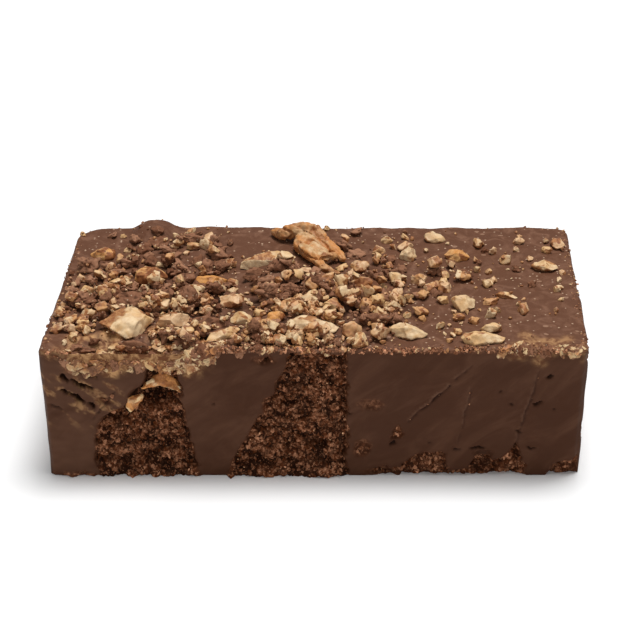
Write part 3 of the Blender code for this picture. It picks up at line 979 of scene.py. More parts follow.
@dataclass(frozen=True)
class NutFinish:
    """Chopped walnut: pale flesh with darker veins on its cuts, and tan skin outside, with painted
    shade in its creases.
    """

    name: str
    flesh: Colour
    flesh_deep: Colour
    skin: Colour
    skin_deep_and_shade: Colour
    skin_low: float
    skin_high: float
    blush: Colour
    roughness: float = 0.5
    sheen: float = 0.25
    flesh_streaks: Marbling = Marbling(480.0, 1.0, 0.36, 0.62)
    skin_streaks: Marbling = Marbling(700.0, 1.2, 0.4, 0.64)
    skin_weight: float = 0.32
    tint_weight: float = 0.12

    def build(self, shelf: GroupShelf) -> Material:
        """Builds the material.

        Args:
            shelf: The shared node groups.

        Returns:
            The material.
        """
        made, board, shader = new_material(self.name, self.roughness, self.sheen)
        place = board.place()
        flesh = shelf.marbled(board, place, self.flesh_streaks, self.flesh_deep, self.flesh)
        skin = shelf.marbled(board, place, self.skin_streaks, self.skin_deep_and_shade, self.skin)
        marked = board.scaled(board.attribute("skin"), self.skin_weight)
        tinted = board.scaled(board.attribute("tint_and_shade"), self.tint_weight)
        patches = board.cloud(place, 300.0, 5.0, Distortion=0.8)
        lifted = board.maths("ADD", patches, board.maths("ADD", marked, tinted))
        share = board.ramp(lifted, self.skin_low, self.skin_high)
        warm = board.cloud(place, 230.0, 4.0, Distortion=0.5)
        warmed = board.ramp(board.maths("ADD", warm, board.scaled(tinted, 1.6)), 0.52, 0.72)
        colour = board.mix(warmed, flesh.outputs["Color"], self.blush)
        colour = board.mix(share, colour, skin.outputs["Color"])
        # painted shade: creases darkened towards the deep skin colour
        colour = board.mix(board.scaled(board.attribute("hollow"), 0.5), colour, self.skin_deep_and_shade)
        board.feed(shader.inputs["Base Color"], colour)
        board.emboss(shader, shelf.grains(board, place, 1300.0, 0.8), 0.4, 0.0003)
        return made


@dataclass(frozen=True)
class FloorFinish:
    """A plain, pale floor."""

    colour: Colour = (0.93, 0.93, 0.93)
    darker: Colour = (0.9, 0.9, 0.9)

    def build(self) -> Material:
        """Builds the material."""
        made, board, shader = new_material("floor", 0.9)
        share = board.scaled(board.cloud(board.place(), 3.0, 2.0), 0.02)
        board.feed(shader.inputs["Base Color"], board.mix(share, self.colour, self.darker))
        return made


NUT_FINISHES = {
    "cream": NutFinish(
        "walnut_cream",
        flesh=(0.76, 0.565, 0.34),
        flesh_deep=(0.66, 0.44, 0.235),
        skin=(0.52, 0.26, 0.105),
        skin_deep_and_shade=(0.27, 0.098, 0.034),
        skin_low=0.62,
        skin_high=0.80,
        blush=(0.68, 0.42, 0.19),
    ),
    "tan": NutFinish(
        "walnut_tan",
        flesh=(0.74, 0.50, 0.29),
        flesh_deep=(0.60, 0.35, 0.175),
        skin=(0.46, 0.205, 0.080),
        skin_deep_and_shade=(0.23, 0.078, 0.028),
        skin_low=0.58,
        skin_high=0.82,
        blush=(0.60, 0.31, 0.125),
    ),
    "toast": NutFinish(
        "walnut_toasted",
        flesh=(0.72, 0.42, 0.175),
        flesh_deep=(0.56, 0.26, 0.085),
        skin=(0.38, 0.145, 0.048),
        skin_deep_and_shade=(0.19, 0.060, 0.020),
        skin_low=0.56,
        skin_high=0.76,
        blush=(0.66, 0.30, 0.085),
    ),
    # painted light: a much paler copy of the cream finish, to brighten the two nuts that sit in shade
    # at the front
    "painted_light": NutFinish(
        "walnut_painted_light",
        flesh=(0.95, 0.80, 0.53),
        flesh_deep=(0.88, 0.66, 0.39),
        skin=(0.74, 0.33, 0.10),
        skin_deep_and_shade=(0.40, 0.15, 0.05),
        skin_low=0.62,
        skin_high=0.84,
        blush=(0.88, 0.60, 0.31),
    ),
    "kernel": NutFinish(
        "walnut_kernel",
        flesh=(0.63, 0.43, 0.235),
        flesh_deep=(0.52, 0.29, 0.125),
        skin=(0.54, 0.29, 0.125),
        skin_deep_and_shade=(0.30, 0.105, 0.034),
        skin_low=0.72,
        skin_high=0.96,
        blush=(0.56, 0.24, 0.075),
    ),
    "paste": NutFinish(
        "nut_paste",
        flesh=(0.70, 0.50, 0.27),
        flesh_deep=(0.46, 0.26, 0.115),
        skin=(0.30, 0.135, 0.058),
        skin_deep_and_shade=(0.14, 0.052, 0.021),
        skin_low=0.58,
        skin_high=0.80,
        blush=(0.46, 0.19, 0.065),
    ),
}
TORN_CRUMB = CrumbFinish(
    "torn_crumb",
    dark=(0.100, 0.026, 0.007),
    pale=(0.86, 0.42, 0.235),
    dust=(0.95, 0.55, 0.3),
    dusting=Dusting(1500.0, 0.05),
    roughness=0.8,
    sheen=0.03,
)


class Finishes:
    """Every material of the bar, built once."""

    def __init__(self) -> None:
        """Builds the materials."""
        shelf = GroupShelf()
        self.fudge = FudgeFinish().build(shelf)
        self.crumb = CrumbFinish().build(shelf)
        self.torn_crumb = TORN_CRUMB.build(shelf)
        self.nuts = {name: finish.build(shelf) for name, finish in NUT_FINISHES.items()}

    def of_nut(self, name: str, slot: Slot) -> Material:
        """The material of a CAD nut, by its name and its slot in the record."""
        if name in NUT_LOOKS:
            return self.nuts[NUT_LOOKS[name]]
        return self.nuts["cream" if slot is Slot.FLESH else "tan"]


# Forms ----------------------------------------------------------------------


@dataclass(frozen=True)
class Form:
    """A closed mesh kept as arrays, with one number a point for each mark."""

    points: np.ndarray
    faces: np.ndarray
    skin: np.ndarray
    hollow: np.ndarray


@dataclass(frozen=True)
class Lump:
    """An angular piece as a knife chops it: an uneven ball, pressed flat on several sides.

    rough is the unevenness of the ball, and crags and fine are the relief that comes after the
    cuts, all as shares of the piece's size.
    """

    seed: int
    facets: int = 7
    detail: int = 4
    rough: float = 0.2
    crags: float = 0.0
    fine: float = 0.03

    def form(self) -> Form:
        """Builds the piece about the origin, one unit long, wide and high.

        Returns:
            Its form. Its skin is 1 where no cut passed, and its mark for painted shade is 1 in deep
            creases.
        """
        rng = random.Random(self.seed)
        bm = bmesh.new()
        bmesh.ops.create_icosphere(bm, subdivisions=self.detail, radius=0.5)
        places = [v.co * (1 + self.rough * 2 * wave(v.co, 0.42, self.seed)) for v in bm.verts]
        skin = [1.0] * len(places)
        for _ in range(self.facets):
            away = Vector((rng.uniform(-1, 1), rng.uniform(-1, 1), rng.uniform(-0.2, 0.9)))
            away.normalize()
            reach = rng.uniform(0.25, 0.4)
            for number, place in enumerate(places):
                beyond = place.dot(away) - reach
                if beyond > 0:
                    places[number] = place - away * beyond
                    skin[number] = 0.0
        points = np.array([self._relief(place) for place in places])
        # painted shade mark: 1 in creases, where the colour is darkened
        hollow = np.array([smooth(-wave(place, 0.2, self.seed + 9), 0.1, 0.5) for place in places])
        faces = np.array([[v.index for v in f.verts] for f in bm.faces])
        bm.free()
        low, high = points.min(axis=0), points.max(axis=0)
        return Form((points - (low + high) / 2) / (high - low), faces, np.array(skin), hollow)

    def _relief(self, place: Vector) -> tuple[float, float, float]:
        """Moves a point in or out by the piece's small relief.

        Args:
            place: The point.

        Returns:
            Where it goes.
        """
        out = self.fine * wave(place, 0.13, self.seed + 5)
        if self.crags:
            lumps = grain(place, 0.34, self.seed + 6) - 0.5
            out += self.crags * (lumps + 0.8 * wave(place, 0.2, self.seed + 9))
        return tuple(place * (1 + 2 * out))


def family(first: int, count: int, **looks: float) -> list[Form]:
    """Makes a row of like pieces.

    Args:
        first: The first one's seed.
        count: How many there are.
        looks: The sizes of a Lump.

    Returns:
        Their forms.
    """
    return [Lump(first + number, **looks).form() for number in range(count)]


class Heap:
    """Gathers many forms into one piece, each with its own tint."""

    def __init__(self) -> None:
        """Starts empty."""
        self._points: list[np.ndarray] = []
        self._faces: list[np.ndarray] = []
        self._marks: dict[str, list[np.ndarray]] = {name: [] for name in NUT_MARKS}
        self._count = 0

    def add(self, form: Form, where: Matrix, tint_and_shade: float) -> None:
        """Adds a form.

        Args:
            form: The form.
            where: Its place, turn and size.
            tint_and_shade: Its tint, from 0 to 1.
        """
        matrix = np.array(where)
        self._points.append(form.points @ matrix[:3, :3].T + matrix[:3, 3])
        self._faces.append(form.faces + self._count)
        self._marks["tint_and_shade"].append(np.full(len(form.points), tint_and_shade))
        self._marks["skin"].append(form.skin)
        self._marks["hollow"].append(form.hollow)
        self._count += len(form.points)

    def settle(self, name: str, material: Material, slot: Slot, soft: bool = True) -> Piece:
        """Turns the heap into a finished piece.

        Args:
            name: The piece's name.
            material: Its finish.
            slot: The record's slot.
            soft: Whether it is shaded smooth.

        Returns:
            The piece.
        """
        points = np.concatenate(self._points) - np.array(ORIGIN)
        faces = np.concatenate(self._faces)
        mesh = bpy.data.meshes.new(name)
        mesh.vertices.add(len(points))
        mesh.vertices.foreach_set("co", points.ravel())
        mesh.loops.add(faces.size)
        mesh.loops.foreach_set("vertex_index", faces.ravel())
        mesh.polygons.add(len(faces))
        mesh.polygons.foreach_set("loop_start", np.arange(0, faces.size, 3))
        mesh.update(calc_edges=True)
        mesh.polygons.foreach_set("use_smooth", np.full(len(faces), soft))
        for mark, values in self._marks.items():
            layer = mesh.attributes.new(mark, "FLOAT", "POINT")
            layer.data.foreach_set("value", np.concatenate(values))
        return ride_along(name, mesh, material, slot)


def ride_along(name: str, mesh: bpy.types.Mesh, material: Material, slot: Slot) -> Piece:
    """Makes a finished piece of a mesh, and lets it ride on the bar.

    Args:
        name: The piece's name.
        mesh: Its mesh, in the frame's coordinates.
        material: Its finish.
        slot: The record's slot; not used.

    Returns:
        The piece.
    """
    mesh.materials.append(material)
    piece = bpy.data.objects.new(name, mesh)
    bpy.context.scene.collection.objects.link(piece)
    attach(piece, ROOT)
    LOG.info("%s: %d faces", name, len(mesh.polygons))
    return piece


def settle(name: str, bm: BMesh, material: Material, slot: Slot) -> Piece:
    """Turns a bmesh into a finished piece.

    Args:
        name: The piece's name.
        bm: Its mesh, in the layout's coordinates. It is freed.
        material: Its finish.
        slot: The record's slot.

    Returns:
        The piece.
    """
    bmesh.ops.translate(bm, vec=-ORIGIN, verts=bm.verts)
    for face in bm.faces:
        face.smooth = True
    mesh = bpy.data.meshes.new(name)
    bm.to_mesh(mesh)
    bm.free()
    return ride_along(name, mesh, material, slot)


def slice_off(bm: BMesh, place: Vector, away: Vector) -> None:
    """Cuts off what lies beyond a plane, and closes the cut.

    Args:
        bm: The mesh.
        place: A point of the plane.
        away: The plane's normal, towards what goes.
    """
    everything = bm.verts[:] + bm.edges[:] + bm.faces[:]
    cut = bmesh.ops.bisect_plane(
        bm, geom=everything, plane_co=place, plane_no=away, clear_outer=True
    )
    rim = [g for g in cut["geom_cut"] if isinstance(g, bmesh.types.BMEdge)]
    if rim:
        bmesh.ops.edgenet_fill(bm, edges=rim)


def laid(place: Vector, turn: Euler, size: Iterable[float]) -> Matrix:
    """A place, turn and size as one matrix.

    Args:
        place: Where the piece's middle goes.
        turn: How it is turned.
        size: Its length, width and height.

    Returns:
        The matrix.
    """
    return Matrix.Translation(place) @ turn.to_matrix().to_4x4() @ Matrix.Diagonal((*size, 1))


# Sub-assemblies -------------------------------------------------------------


@dataclass
class FudgeBody:
    """The bar of fudge: a rounded block whose faces carry the relief of cut, tear and top."""

    shape: BarShape
    step_x: float = 0.5 * MM
    step_y: float = 0.6 * MM
    step_z: float = 0.45 * MM
    spare_foot: float = 1.0 * MM
    crumb: float = 0.95 * MM
    clump: float = 2.7 * MM
    crag: float = 0.5 * MM
    top_lump: float = 2.9 * MM
    chafing: float = 0.35 * MM
    score_depth: float = 0.34 * MM

    def block(self) -> BMesh:
        """The plain block with soft edges, cut into a grid that is finer where it is torn."""
        height = self.shape.height + self.spare_foot
        bm = bmesh.new()
        bmesh.ops.create_cube(bm, size=1.0)
        bmesh.ops.scale(bm, vec=(self.shape.length, self.shape.depth, height), verts=bm.verts)
        bmesh.ops.translate(bm, vec=(0, 0, self.shape.height - height / 2), verts=bm.verts)
        upper = [e for e in bm.edges if max(v.co.z for v in e.verts) > self.shape.height / 2]
        radius = self.shape.edge_radius
        bmesh.ops.bevel(
            bm, geom=upper, offset=radius, segments=3, profile=0.5, affect="EDGES", material=-1
        )
        sizes = (self.shape.length, self.shape.depth, height)
        for axis, (size, step) in enumerate(zip(sizes, (self.step_x, self.step_y, self.step_z))):
            along = [e for e in bm.edges if self._runs_along(e, axis)]
            cuts = round(size / step) - 1
            bmesh.ops.subdivide_edges(bm, edges=along, cuts=cuts, use_grid_fill=True)
        front = [f for f in bm.faces if f.normal.y < -0.9]
        fine = {e for f in front if self._is_detailed(f.calc_center_median()) for e in f.edges}
        bmesh.ops.subdivide_edges(bm, edges=list(fine), cuts=1, use_grid_fill=True)
        return bm

    @staticmethod
    def _runs_along(edge: bmesh.types.BMEdge, axis: int) -> bool:
        """True if an edge of the block is parallel to an axis."""
        return abs((edge.verts[0].co - edge.verts[1].co).normalized()[axis]) > 0.999

    def _is_detailed(self, point: Vector) -> bool:
        """True where the front cut is torn, hollow, nicked or cracked."""
        x, z = (point.x + self.shape.middle[0]) / MM, point.z / MM
        if self.shape.torn(x, z, blur=3) > 0.02 or self.shape.pitted(x, z) > 0.1:
            return True
        return self.shape.scored(x, z) > 0.01 or self.shape.nicked(x, z) > 0.01

    def placed(self, x: float, y: float, z: float) -> Vector:
        """Moves a point of the plain block, which has its relief already, to where the bar is.

        Args:
            x: Place along the block.
            y: Place across it.
            z: Height.

        Returns:
            The point in the layout's coordinates, with its height unchanged.
        """
        shape = self.shape
        x, y = shape.rounded(x, y)
        draft = shape.draft * (1 - z / shape.height)
        x *= 1 - draft - shape.taper / shape.length * y / shape.depth
        x += shape.back_shift * y / shape.depth
        return Vector((x + shape.middle[0], y + shape.middle[1], z))

    def top_at(self, x: float, y: float) -> float:
        """Height of the finished top at (x, y)."""
        return self.shape.height + self.shape.top_rise(x, y) + self.top_crags(x, y)

    def top_crags(self, x: float, y: float) -> float:
        """Small relief of the top, stronger where more topping was pressed in."""
        thick = min(1.0, 1.2 * thickness(x, y))
        lumps = grain((x, y, 0), self.top_lump, 31) - 0.5
        lumps += 0.6 * (grain((x, y, 0), 1.3 * MM, 32) - 0.5)
        folds = wave((x, y, 0), 3.2 * MM, 33)
        streaks = wave((x * 0.3, y, 0), 1.4 * MM, 35)
        fold = self.shape.mounds[0]
        raised = smooth(fold.rise(x / MM, y / MM) / fold.height, 0.0, 0.5)
        creases = raised * (abs(wave((x, 0.3 * y, 0), 5 * MM, 38)) - 0.35)
        relief = 0.06 * MM * (wave((x, y, 0), 0.9 * MM, 34) + streaks)
        return self.crag * (thick * lumps + 0.3 * folds - 1.3 * creases) + relief

    def on_front(self, x: float, z: float, out: float) -> Vector:
        """A place on the finished front cut.

        Args:
            x: Place along the plain block.
            z: Height.
            out: How far in front of the surface it lies.

        Returns:
            The place, in the layout's coordinates.
        """
        listed = x + self.shape.middle[0]
        torn = self.shape.torn(listed / MM, z / MM)
        rise = self.shape.front_rise(listed, z, torn) + self.front_crumbs(listed, z, torn)
        return self.placed(x, -self.shape.depth / 2 - rise - out, z)

    def on_edge(self, x: float, along: float) -> tuple[Vector, Vector]:
        """A place on the front edge.

        Args:
            x: Place along the bar.
            along: How far down the cut it lies from the edge, or back over the top if below zero.

        Returns:
            The place, and the way out of the surface there.
        """
        if along > 0:
            edge = self.shape.height + self.shape.top_rise(x, self.shape.cut)
            place = self.on_front(x - self.shape.middle[0], edge - along, 0.0)
            return place, Vector((0, -1, 0.6 * (1 - smooth(along, 0, 2 * MM))))
        y = self.shape.cut - along
        lean = 0.6 * (1 - smooth(-along, 0, 2 * MM))
        return Vector((x, y, self.top_at(x, y))), Vector((0, -lean, 1))

    def front_crumbs(self, x: float, z: float, torn: float) -> float:
        """Small relief of the front cut: crumbs where it is torn, nicks, and the knife's cracks."""
        relief = 0.04 * MM * wave((x, 0, z * 3), 2.4 * MM, 41)
        relief += 0.02 * MM * wave((x, 0, z), 0.6 * MM, 44)
        if torn > 0:
            packed = grain((x, 0, z), self.crumb, 42) - 0.5
            packed += 0.6 * (grain((x, 0, z), 0.5 * self.crumb, 43) - 0.5)
            relief += torn * MM * (0.6 * packed + 0.7 * (self.clumped(x, z) - 0.5))
        x, z = x / MM, z / MM
        return relief - self.score_depth * self.shape.scored(x, z) - MM * self.shape.nicked(x, z)

    def clumped(self, x: float, z: float) -> float:
        """1 in the middle of a clump of the torn patches and 0 in the gaps between clumps."""
        warp = 0.5 * MM * wave((x, 0, z), 1.3 * MM, 46)
        return grain((x + warp, 0, 1.3 * z - warp), self.clump, 45)

    def build(self, finish: Material) -> Piece:
        """Builds the bar.

        Args:
            finish: Its material.

        Returns:
            The piece, which stands for the CAD bar.
        """
        bm = self.block()
        layers = {name: bm.verts.layers.float.new(name) for name in BAR_MARKS}
        for vertex in bm.verts:
            self._shape_vertex(vertex, layers)
        slice_off(bm, Vector((0, 0, 0)), Vector((0, 0, -1)))
        foot = [f for f in bm.faces if f.normal.z < -0.9 and f.calc_center_median().z < 0.1 * MM]
        bmesh.ops.dissolve_faces(bm, faces=foot)
        piece = settle("fudge_body", bm, finish, Slot.FUDGE)
        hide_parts("fudge_bar")
        return piece

    def _shape_vertex(self, vertex: bmesh.types.BMVert, layers: dict[str, object]) -> None:
        """Moves a point of the plain block onto the real bar, and marks what it is part of.

        Args:
            vertex: The point.
            layers: The marks, by name.
        """
        shape = self.shape
        point = vertex.co.copy()
        x, y, z = point
        listed = x + shape.middle[0]
        half_x, half_y = shape.length / 2, shape.depth / 2
        gaps = (shape.height - z, y + half_y, half_y - y, half_x - x, x + half_x)
        near = [1 - smooth(gap, 0, shape.edge_radius) for gap in gaps]
        near_top, near_front, near_back, near_right, near_left = near
        hollow = torn = lip = 0.0
        if near_front > 0:
            torn = shape.torn(listed / MM, z / MM)
            y -= near_front * (shape.front_rise(listed, z, torn) + self.front_crumbs(listed, z, torn))
            # painted shade in pits, nicks, cracks, gaps between crumbs and clefts between clumps
            hollow = near_front * self._front_hollow(listed, z, torn)
            lip = shape.scored(listed / MM + 0.3, z / MM - 0.3)
        if near_back > 0:
            y += near_back * self.side_relief(point, Side.BACK)
        if near_right > 0:
            x += near_right * self.side_relief(point, Side.RIGHT)
        if near_left > 0:
            x -= near_left * self.side_relief(point, Side.LEFT)
        place = self.placed(x, y, z)
        worn = near_top * max(near[1:])
        if near_top > 0:
            rise = shape.top_rise(place.x, place.y) + self.top_crags(place.x, place.y)
            place.z += near_top * rise
            ragged = 0.3 + waves(place, (1, 2.1 * MM, 36), (0.6, 0.8 * MM, 37))
            place.z -= worn * self.chafing * max(0.0, ragged)
        vertex.co = place

        sides = max(near_back, near_left, near_right) * (1 - near_top) * (1 - near_front)
        side_torn = sides * self.plain_torn(point) if sides > 0 else 0.0
        # painted shade between the grains of the back and ends, and between the crumbs of the top
        side_gaps = 0.8 * side_torn * smooth(0.5 - grain(point, 2.4 * MM, 47), 0.0, 0.35)
        top_gaps = near_top * (1 - worn) * self._top_hollow(place.x, place.y)
        ragged = waves(place, (1, 2.1 * MM, 36), (0.5, 0.8 * MM, 37))
        chafed = 0.75 * worn * smooth(ragged, -0.25, 0.25)
        vertex[layers["torn"]] = max(near_front * torn, side_torn, chafed)
        vertex[layers["top"]] = near_top
        vertex[layers["hollow"]] = max(hollow, side_gaps, top_gaps)
        vertex[layers["stain"]] = self._stain(place)
        vertex[layers["bloom"]] = near_front * max(self._bloom(place, x), 0.9 * lip)

    @staticmethod
    def _bloom(place: Vector, x: float) -> float:
        """How pale the smooth cut is at a place, x along the block, in clouds and to the left."""
        cloud = 0.55 + 0.45 * wave(place, 9 * MM, 67)
        cloud += 0.3 * wave((place.x, 0, 2.5 * place.z), 3 * MM, 68)
        return 0.8 * max(0.0, cloud) * (0.12 + 0.88 * smooth(-x, 12 * MM, 50 * MM))

    def _front_hollow(self, x: float, z: float, torn: float) -> float:
        """Painted shade on the front cut at (x, z) where it lies deep, in pits, nicks, cracks and
        gaps between crumbs, from 0 to 1.
        """
        deep = smooth(self.shape.pitted(x / MM, z / MM), 0.5, 2.6) * 0.9
        nicks = smooth(self.shape.nicked(x / MM, z / MM), 0.15, 0.7)
        scores = 0.8 * self.shape.scored(x / MM, z / MM)
        gaps = torn * smooth(-(grain((x, 0, z), self.crumb, 42) - 0.5), 0.0, 0.4) * 0.7
        crags = torn * smooth(-wave((x, 0, z), self.shape.crag_size, 5), 0.0, 0.4) * 0.8
        clefts = 0.9 * torn * smooth(0.45 - self.clumped(x, z), 0.0, 0.35)
        return min(0.95, max(deep, nicks, scores, gaps, crags, clefts))

    def _top_hollow(self, x: float, y: float) -> float:
        """Painted shade on the top at (x, y) between the crumbs that stand round it, from 0 to 1."""
        thick = smooth(thickness(x, y), 0.15, 0.7)
        return 0.75 * thick * smooth(-(grain((x, y, 0), self.top_lump, 31) - 0.45), 0.0, 0.4)

    @staticmethod
    def plain_torn(point: Vector) -> float:
        """How torn the back and ends are at a point of the plain block, in a few soft patches."""
        return 0.8 * smooth(waves(point, (1, 11 * MM, 61), (0.4, 3 * MM, 62)), 0.16, 0.34)

    def side_relief(self, point: Vector, side: Side) -> float:
        """How far the back or an end stands out.

        Args:
            point: The point of the plain block.
            side: Which cut it is on.

        Returns:
            The distance, below zero where it lies deeper.
        """
        seed, crumbs_seed = side.value[2:]
        rise = self.shape.side_rise(point, seed)
        torn = self.plain_torn(point)
        if torn <= 0:
            return rise + 0.04 * MM * wave(point, 2.4 * MM, crumbs_seed)
        packed = grain(point, self.crumb, crumbs_seed) - 0.5
        return rise + torn * (0.55 * MM * packed - 0.25 * MM)

    def on_side(self, side: Side, along: float, z: float, out: float) -> tuple[Vector, float]:
        """A place on the finished back or an end.

        Args:
            side: Which cut.
            along: Place along it, on the plain block.
            z: Height.
            out: How far outside the surface it lies.

        Returns:
            The place, in the layout's coordinates, and how torn the cut is there.
        """
        axis, direction = side.value[:2]
        sizes = (self.shape.length, self.shape.depth)
        point = Vector((along, along, z))
        point[axis] = direction * sizes[axis] / 2
        torn = self.plain_torn(point)
        moved = point.copy()
        moved[axis] += direction * (self.side_relief(point, side) + out)
        return self.placed(*moved), torn

    def _stain(self, place: Vector) -> float:
        """How much nut paste is smeared into the fudge, from 0 to 1.

        Args:
            place: The point of the finished bar.

        Returns:
            The share, largest along the front edge and at the left of the front cut.
        """
        x, y, z = place / MM
        down = self.shape.height / MM - z
        away = down + 0.6 * (y - self.shape.cut / MM)
        left = smooth(x, -53, -49) * (1 - smooth(x, -28, -20))
        right = smooth(x, 37, 42) * (1 - smooth(x, 54, 56))
        ragged = waves(place, (1.6, 5 * MM, 63), (0.8, 1.6 * MM, 64))
        left_share = left * (1 - smooth(away + 3 * ragged, 3.0, 6.0))
        right_share = 0.55 * right * (1 - smooth(away + 2 * ragged, 0.8, 3.0))
        along, across = 0.8 * x - 0.6 * z, 0.6 * x + 0.8 * z
        flecks = wave((along / 3, across, 0), 1.3, 65)
        flecks += 0.5 * wave((along / 2, across, 0), 0.5, 66)
        flecks = smooth(flecks, 0.16, 0.46)
        front = 1 - smooth(y - self.shape.cut / MM, 0.5, 3)
        corner = 0.5 * flecks * smooth(-x, 38, 42) * smooth(z, 10, 16) * front
        return 0.85 * max(left_share, right_share, corner)


@dataclass
class Pile:
    """Heights of what lies on the top so far, on a fine grid, so that later pieces lie on it."""

    body: FudgeBody
    cell: float = 0.4 * MM
    reach_x: float = 60 * MM
    reach_y: float = 32 * MM

    def __post_init__(self) -> None:
        """Starts with the bare top."""
        self.xs = np.arange(-self.reach_x, self.reach_x, self.cell)
        self.ys = np.arange(-self.reach_y, self.reach_y, self.cell)
        self.heights = np.array([[self.body.top_at(x, y) for y in self.ys] for x in self.xs])

    def disc(self, x: float, y: float, radius: float) -> tuple[tuple[slice, slice], np.ndarray]:
        """The cells round (x, y) and each one's distance as a share of the radius."""
        low_x = int((x - radius + self.reach_x) / self.cell)
        low_y = int((y - radius + self.reach_y) / self.cell)
        count = max(1, int(2 * radius / self.cell)) + 1
        part = slice(max(0, low_x), low_x + count), slice(max(0, low_y), low_y + count)
        away = np.hypot(self.xs[part[0]][:, None] - x, self.ys[part[1]][None, :] - y) / radius
        return part, away

    def rest(self, x: float, y: float, radius: float) -> float:
        """Height on which a piece of this radius comes to rest at (x, y)."""
        part, away = self.disc(x, y, max(radius, 1.1 * self.cell))
        inside = self.heights[part][away < 0.8]
        return float(inside.mean()) if inside.size else self.body.top_at(x, y)

    def cover(self, x: float, y: float, radius: float, top: float) -> None:
        """Raises the cells under a rounded piece.

        Args:
            x: The piece's place along the bar.
            y: Its place across it.
            radius: Its radius.
            top: Height of its top.
        """
        part, away = self.disc(x, y, radius)
        old = self.heights[part]
        dome = top - (top - old) * np.minimum(1, away) ** 2
        self.heights[part] = np.where(away < 1, np.maximum(old, dome), old)


@dataclass
class TornCrumbs:
    """Loose grains that stand out of the torn patches, the cracks and the front edge."""

    body: FudgeBody
    spacing: float = 0.40 * MM
    plain_spacing: float = 0.48 * MM
    smallest: float = 0.34 * MM
    largest: float = 1.4 * MM
    edge_largest: float = 1.1 * MM
    plain_largest: float = 0.9 * MM
    edge_grains: int = 900
    margin: float = 6 * MM
    width: float = 109 * MM
    height: float = 29.5 * MM
    seed: int = 7

    def build(self, finish: Material) -> list[Piece]:
        """Builds the grains.

        Args:
            finish: Their material.

        Returns:
            The fine grains and the crumbs of the front cut, and the grains of the other cuts.
        """
        rng = random.Random(self.seed)
        self.grains = family(400, 20, facets=3, detail=1, rough=0.9, fine=0)
        self.crumbs = family(450, 20, facets=4, detail=2, rough=0.7, crags=0.14)
        self.fine, self.coarse, self.plain = Heap(), Heap(), Heap()
        self._front(rng)
        self._edge(rng)
        for side in Side:
            self._side(rng, side)
        return [
            self.fine.settle("torn_grains", finish, Slot.FUDGE, soft=False),
            self.coarse.settle("torn_crumbs", finish, Slot.FUDGE, soft=False),
            self.plain.settle("side_grains", finish, Slot.FUDGE, soft=False),
        ]

    def _front(self, rng: random.Random) -> None:
        """Lays grains in the torn patches and the cracks of the front cut."""
        body = self.body
        for x, z in self._spots(rng, self.width, self.spacing):
            listed = x + body.shape.middle[0]
            if rng.random() > self._share(listed, z):
                continue
            size = self._size(rng, self.largest, 4)
            if z < 0.6 * size:
                continue
            place = body.on_front(x, z, rng.uniform(-0.2, 0.2) * size)
            # painted light and shade: the random tint grows paler for grains that stand out or sit on
            # a clump, and darker for deeper ones
            lift = smooth(body.shape.cut - place.y, -1.6 * MM, 0.2 * MM)
            raised = smooth(body.clumped(listed, z), 0.15, 0.75)
            tint_and_shade = rng.random() ** 1.1 * (0.15 + 0.85 * lift) * (0.2 + 0.8 * raised)
            heap, forms = self._sort(size, 0.7 * MM)
            self._add(heap, rng, forms, place, size, tint_and_shade)

    def _edge(self, rng: random.Random) -> None:
        """Lays grains along the front edge, in stretches."""
        for _ in range(self.edge_grains):
            x, along = rng.uniform(-54, 55) * MM, rng.uniform(-1.2, 0.8) * MM
            if wave((x, 0, 0), 7 * MM, 71) < rng.uniform(-0.9, 0.3):
                continue
            place, _ = self.body.on_edge(x, along)
            size = self._size(rng, self.edge_largest, 2)
            heap, forms = self._sort(size, 0.6 * MM)
            self._add(heap, rng, forms, place, size, 0.05 + 0.75 * rng.random() ** 2)

    def _side(self, rng: random.Random, side: Side) -> None:
        """Lays grains in the torn patches of the back or an end."""
        width = self.body.shape.length if side is Side.BACK else self.body.shape.depth
        for along, z in self._spots(rng, width - self.margin, self.plain_spacing):
            size = self._size(rng, self.plain_largest, 3)
            place, torn = self.body.on_side(side, along, z, rng.uniform(-0.2, 0.1) * size)
            if rng.random() > 0.6 * smooth(torn, 0.2, 0.6) or z < 0.6 * size:
                continue
            self._add(self.plain, rng, self.grains, place, size, 0.5 * rng.random() ** 2)

    def _size(self, rng: random.Random, largest: float, bias: float) -> float:
        """Draws a grain's size: the higher the bias, the more small ones there are."""
        return self.smallest + (largest - self.smallest) * rng.random() ** bias

    def _sort(self, size: float, limit: float) -> tuple[Heap, list[Form]]:
        """The heap and the forms of a grain, finer ones up to the limit."""
        return (self.coarse, self.crumbs) if size > limit else (self.fine, self.grains)

    def _spots(
        self, rng: random.Random, width: float, spacing: float
    ) -> Iterator[tuple[float, float]]:
        """Goes over a cut in uneven steps.

        Args:
            rng: The draws.
            width: The cut's width.
            spacing: The mean step.

        Yields:
            Place along the cut, and height.
        """
        for column in range(round(width / spacing)):
            for row in range(round(self.height / spacing)):
                along = (column + 0.5 + rng.uniform(-0.5, 0.5)) * spacing - width / 2
                yield along, (row + 0.5 + rng.uniform(-0.5, 0.5)) * spacing

    @staticmethod
    def _add(
        heap: Heap, rng: random.Random, forms: list[Form], place: Vector, size: float, tint_and_shade: float
    ) -> None:
        """Adds one grain, turned at random.

        Args:
            heap: Where it goes.
            rng: The draws.
            forms: The forms that it is one of.
            place: Its middle.
            size: Its length.
            tint_and_shade: Its tint, from 0 to 1.
        """
        turn = Euler([rng.uniform(0, math.tau) for _ in range(3)])
        sizes = (size, size * rng.uniform(0.45, 1), size * rng.uniform(0.4, 0.9))
        heap.add(rng.choice(forms), laid(place, turn, sizes), tint_and_shade)

    def _share(self, x: float, z: float) -> float:
        """How likely a grain is at (x, z)."""
        torn = self.body.shape.torn(x / MM, z / MM)
        scored = self.body.shape.scored(x / MM, z / MM)
        return max(0.62 * smooth(torn, 0.25, 0.7), 0.14 * scored)


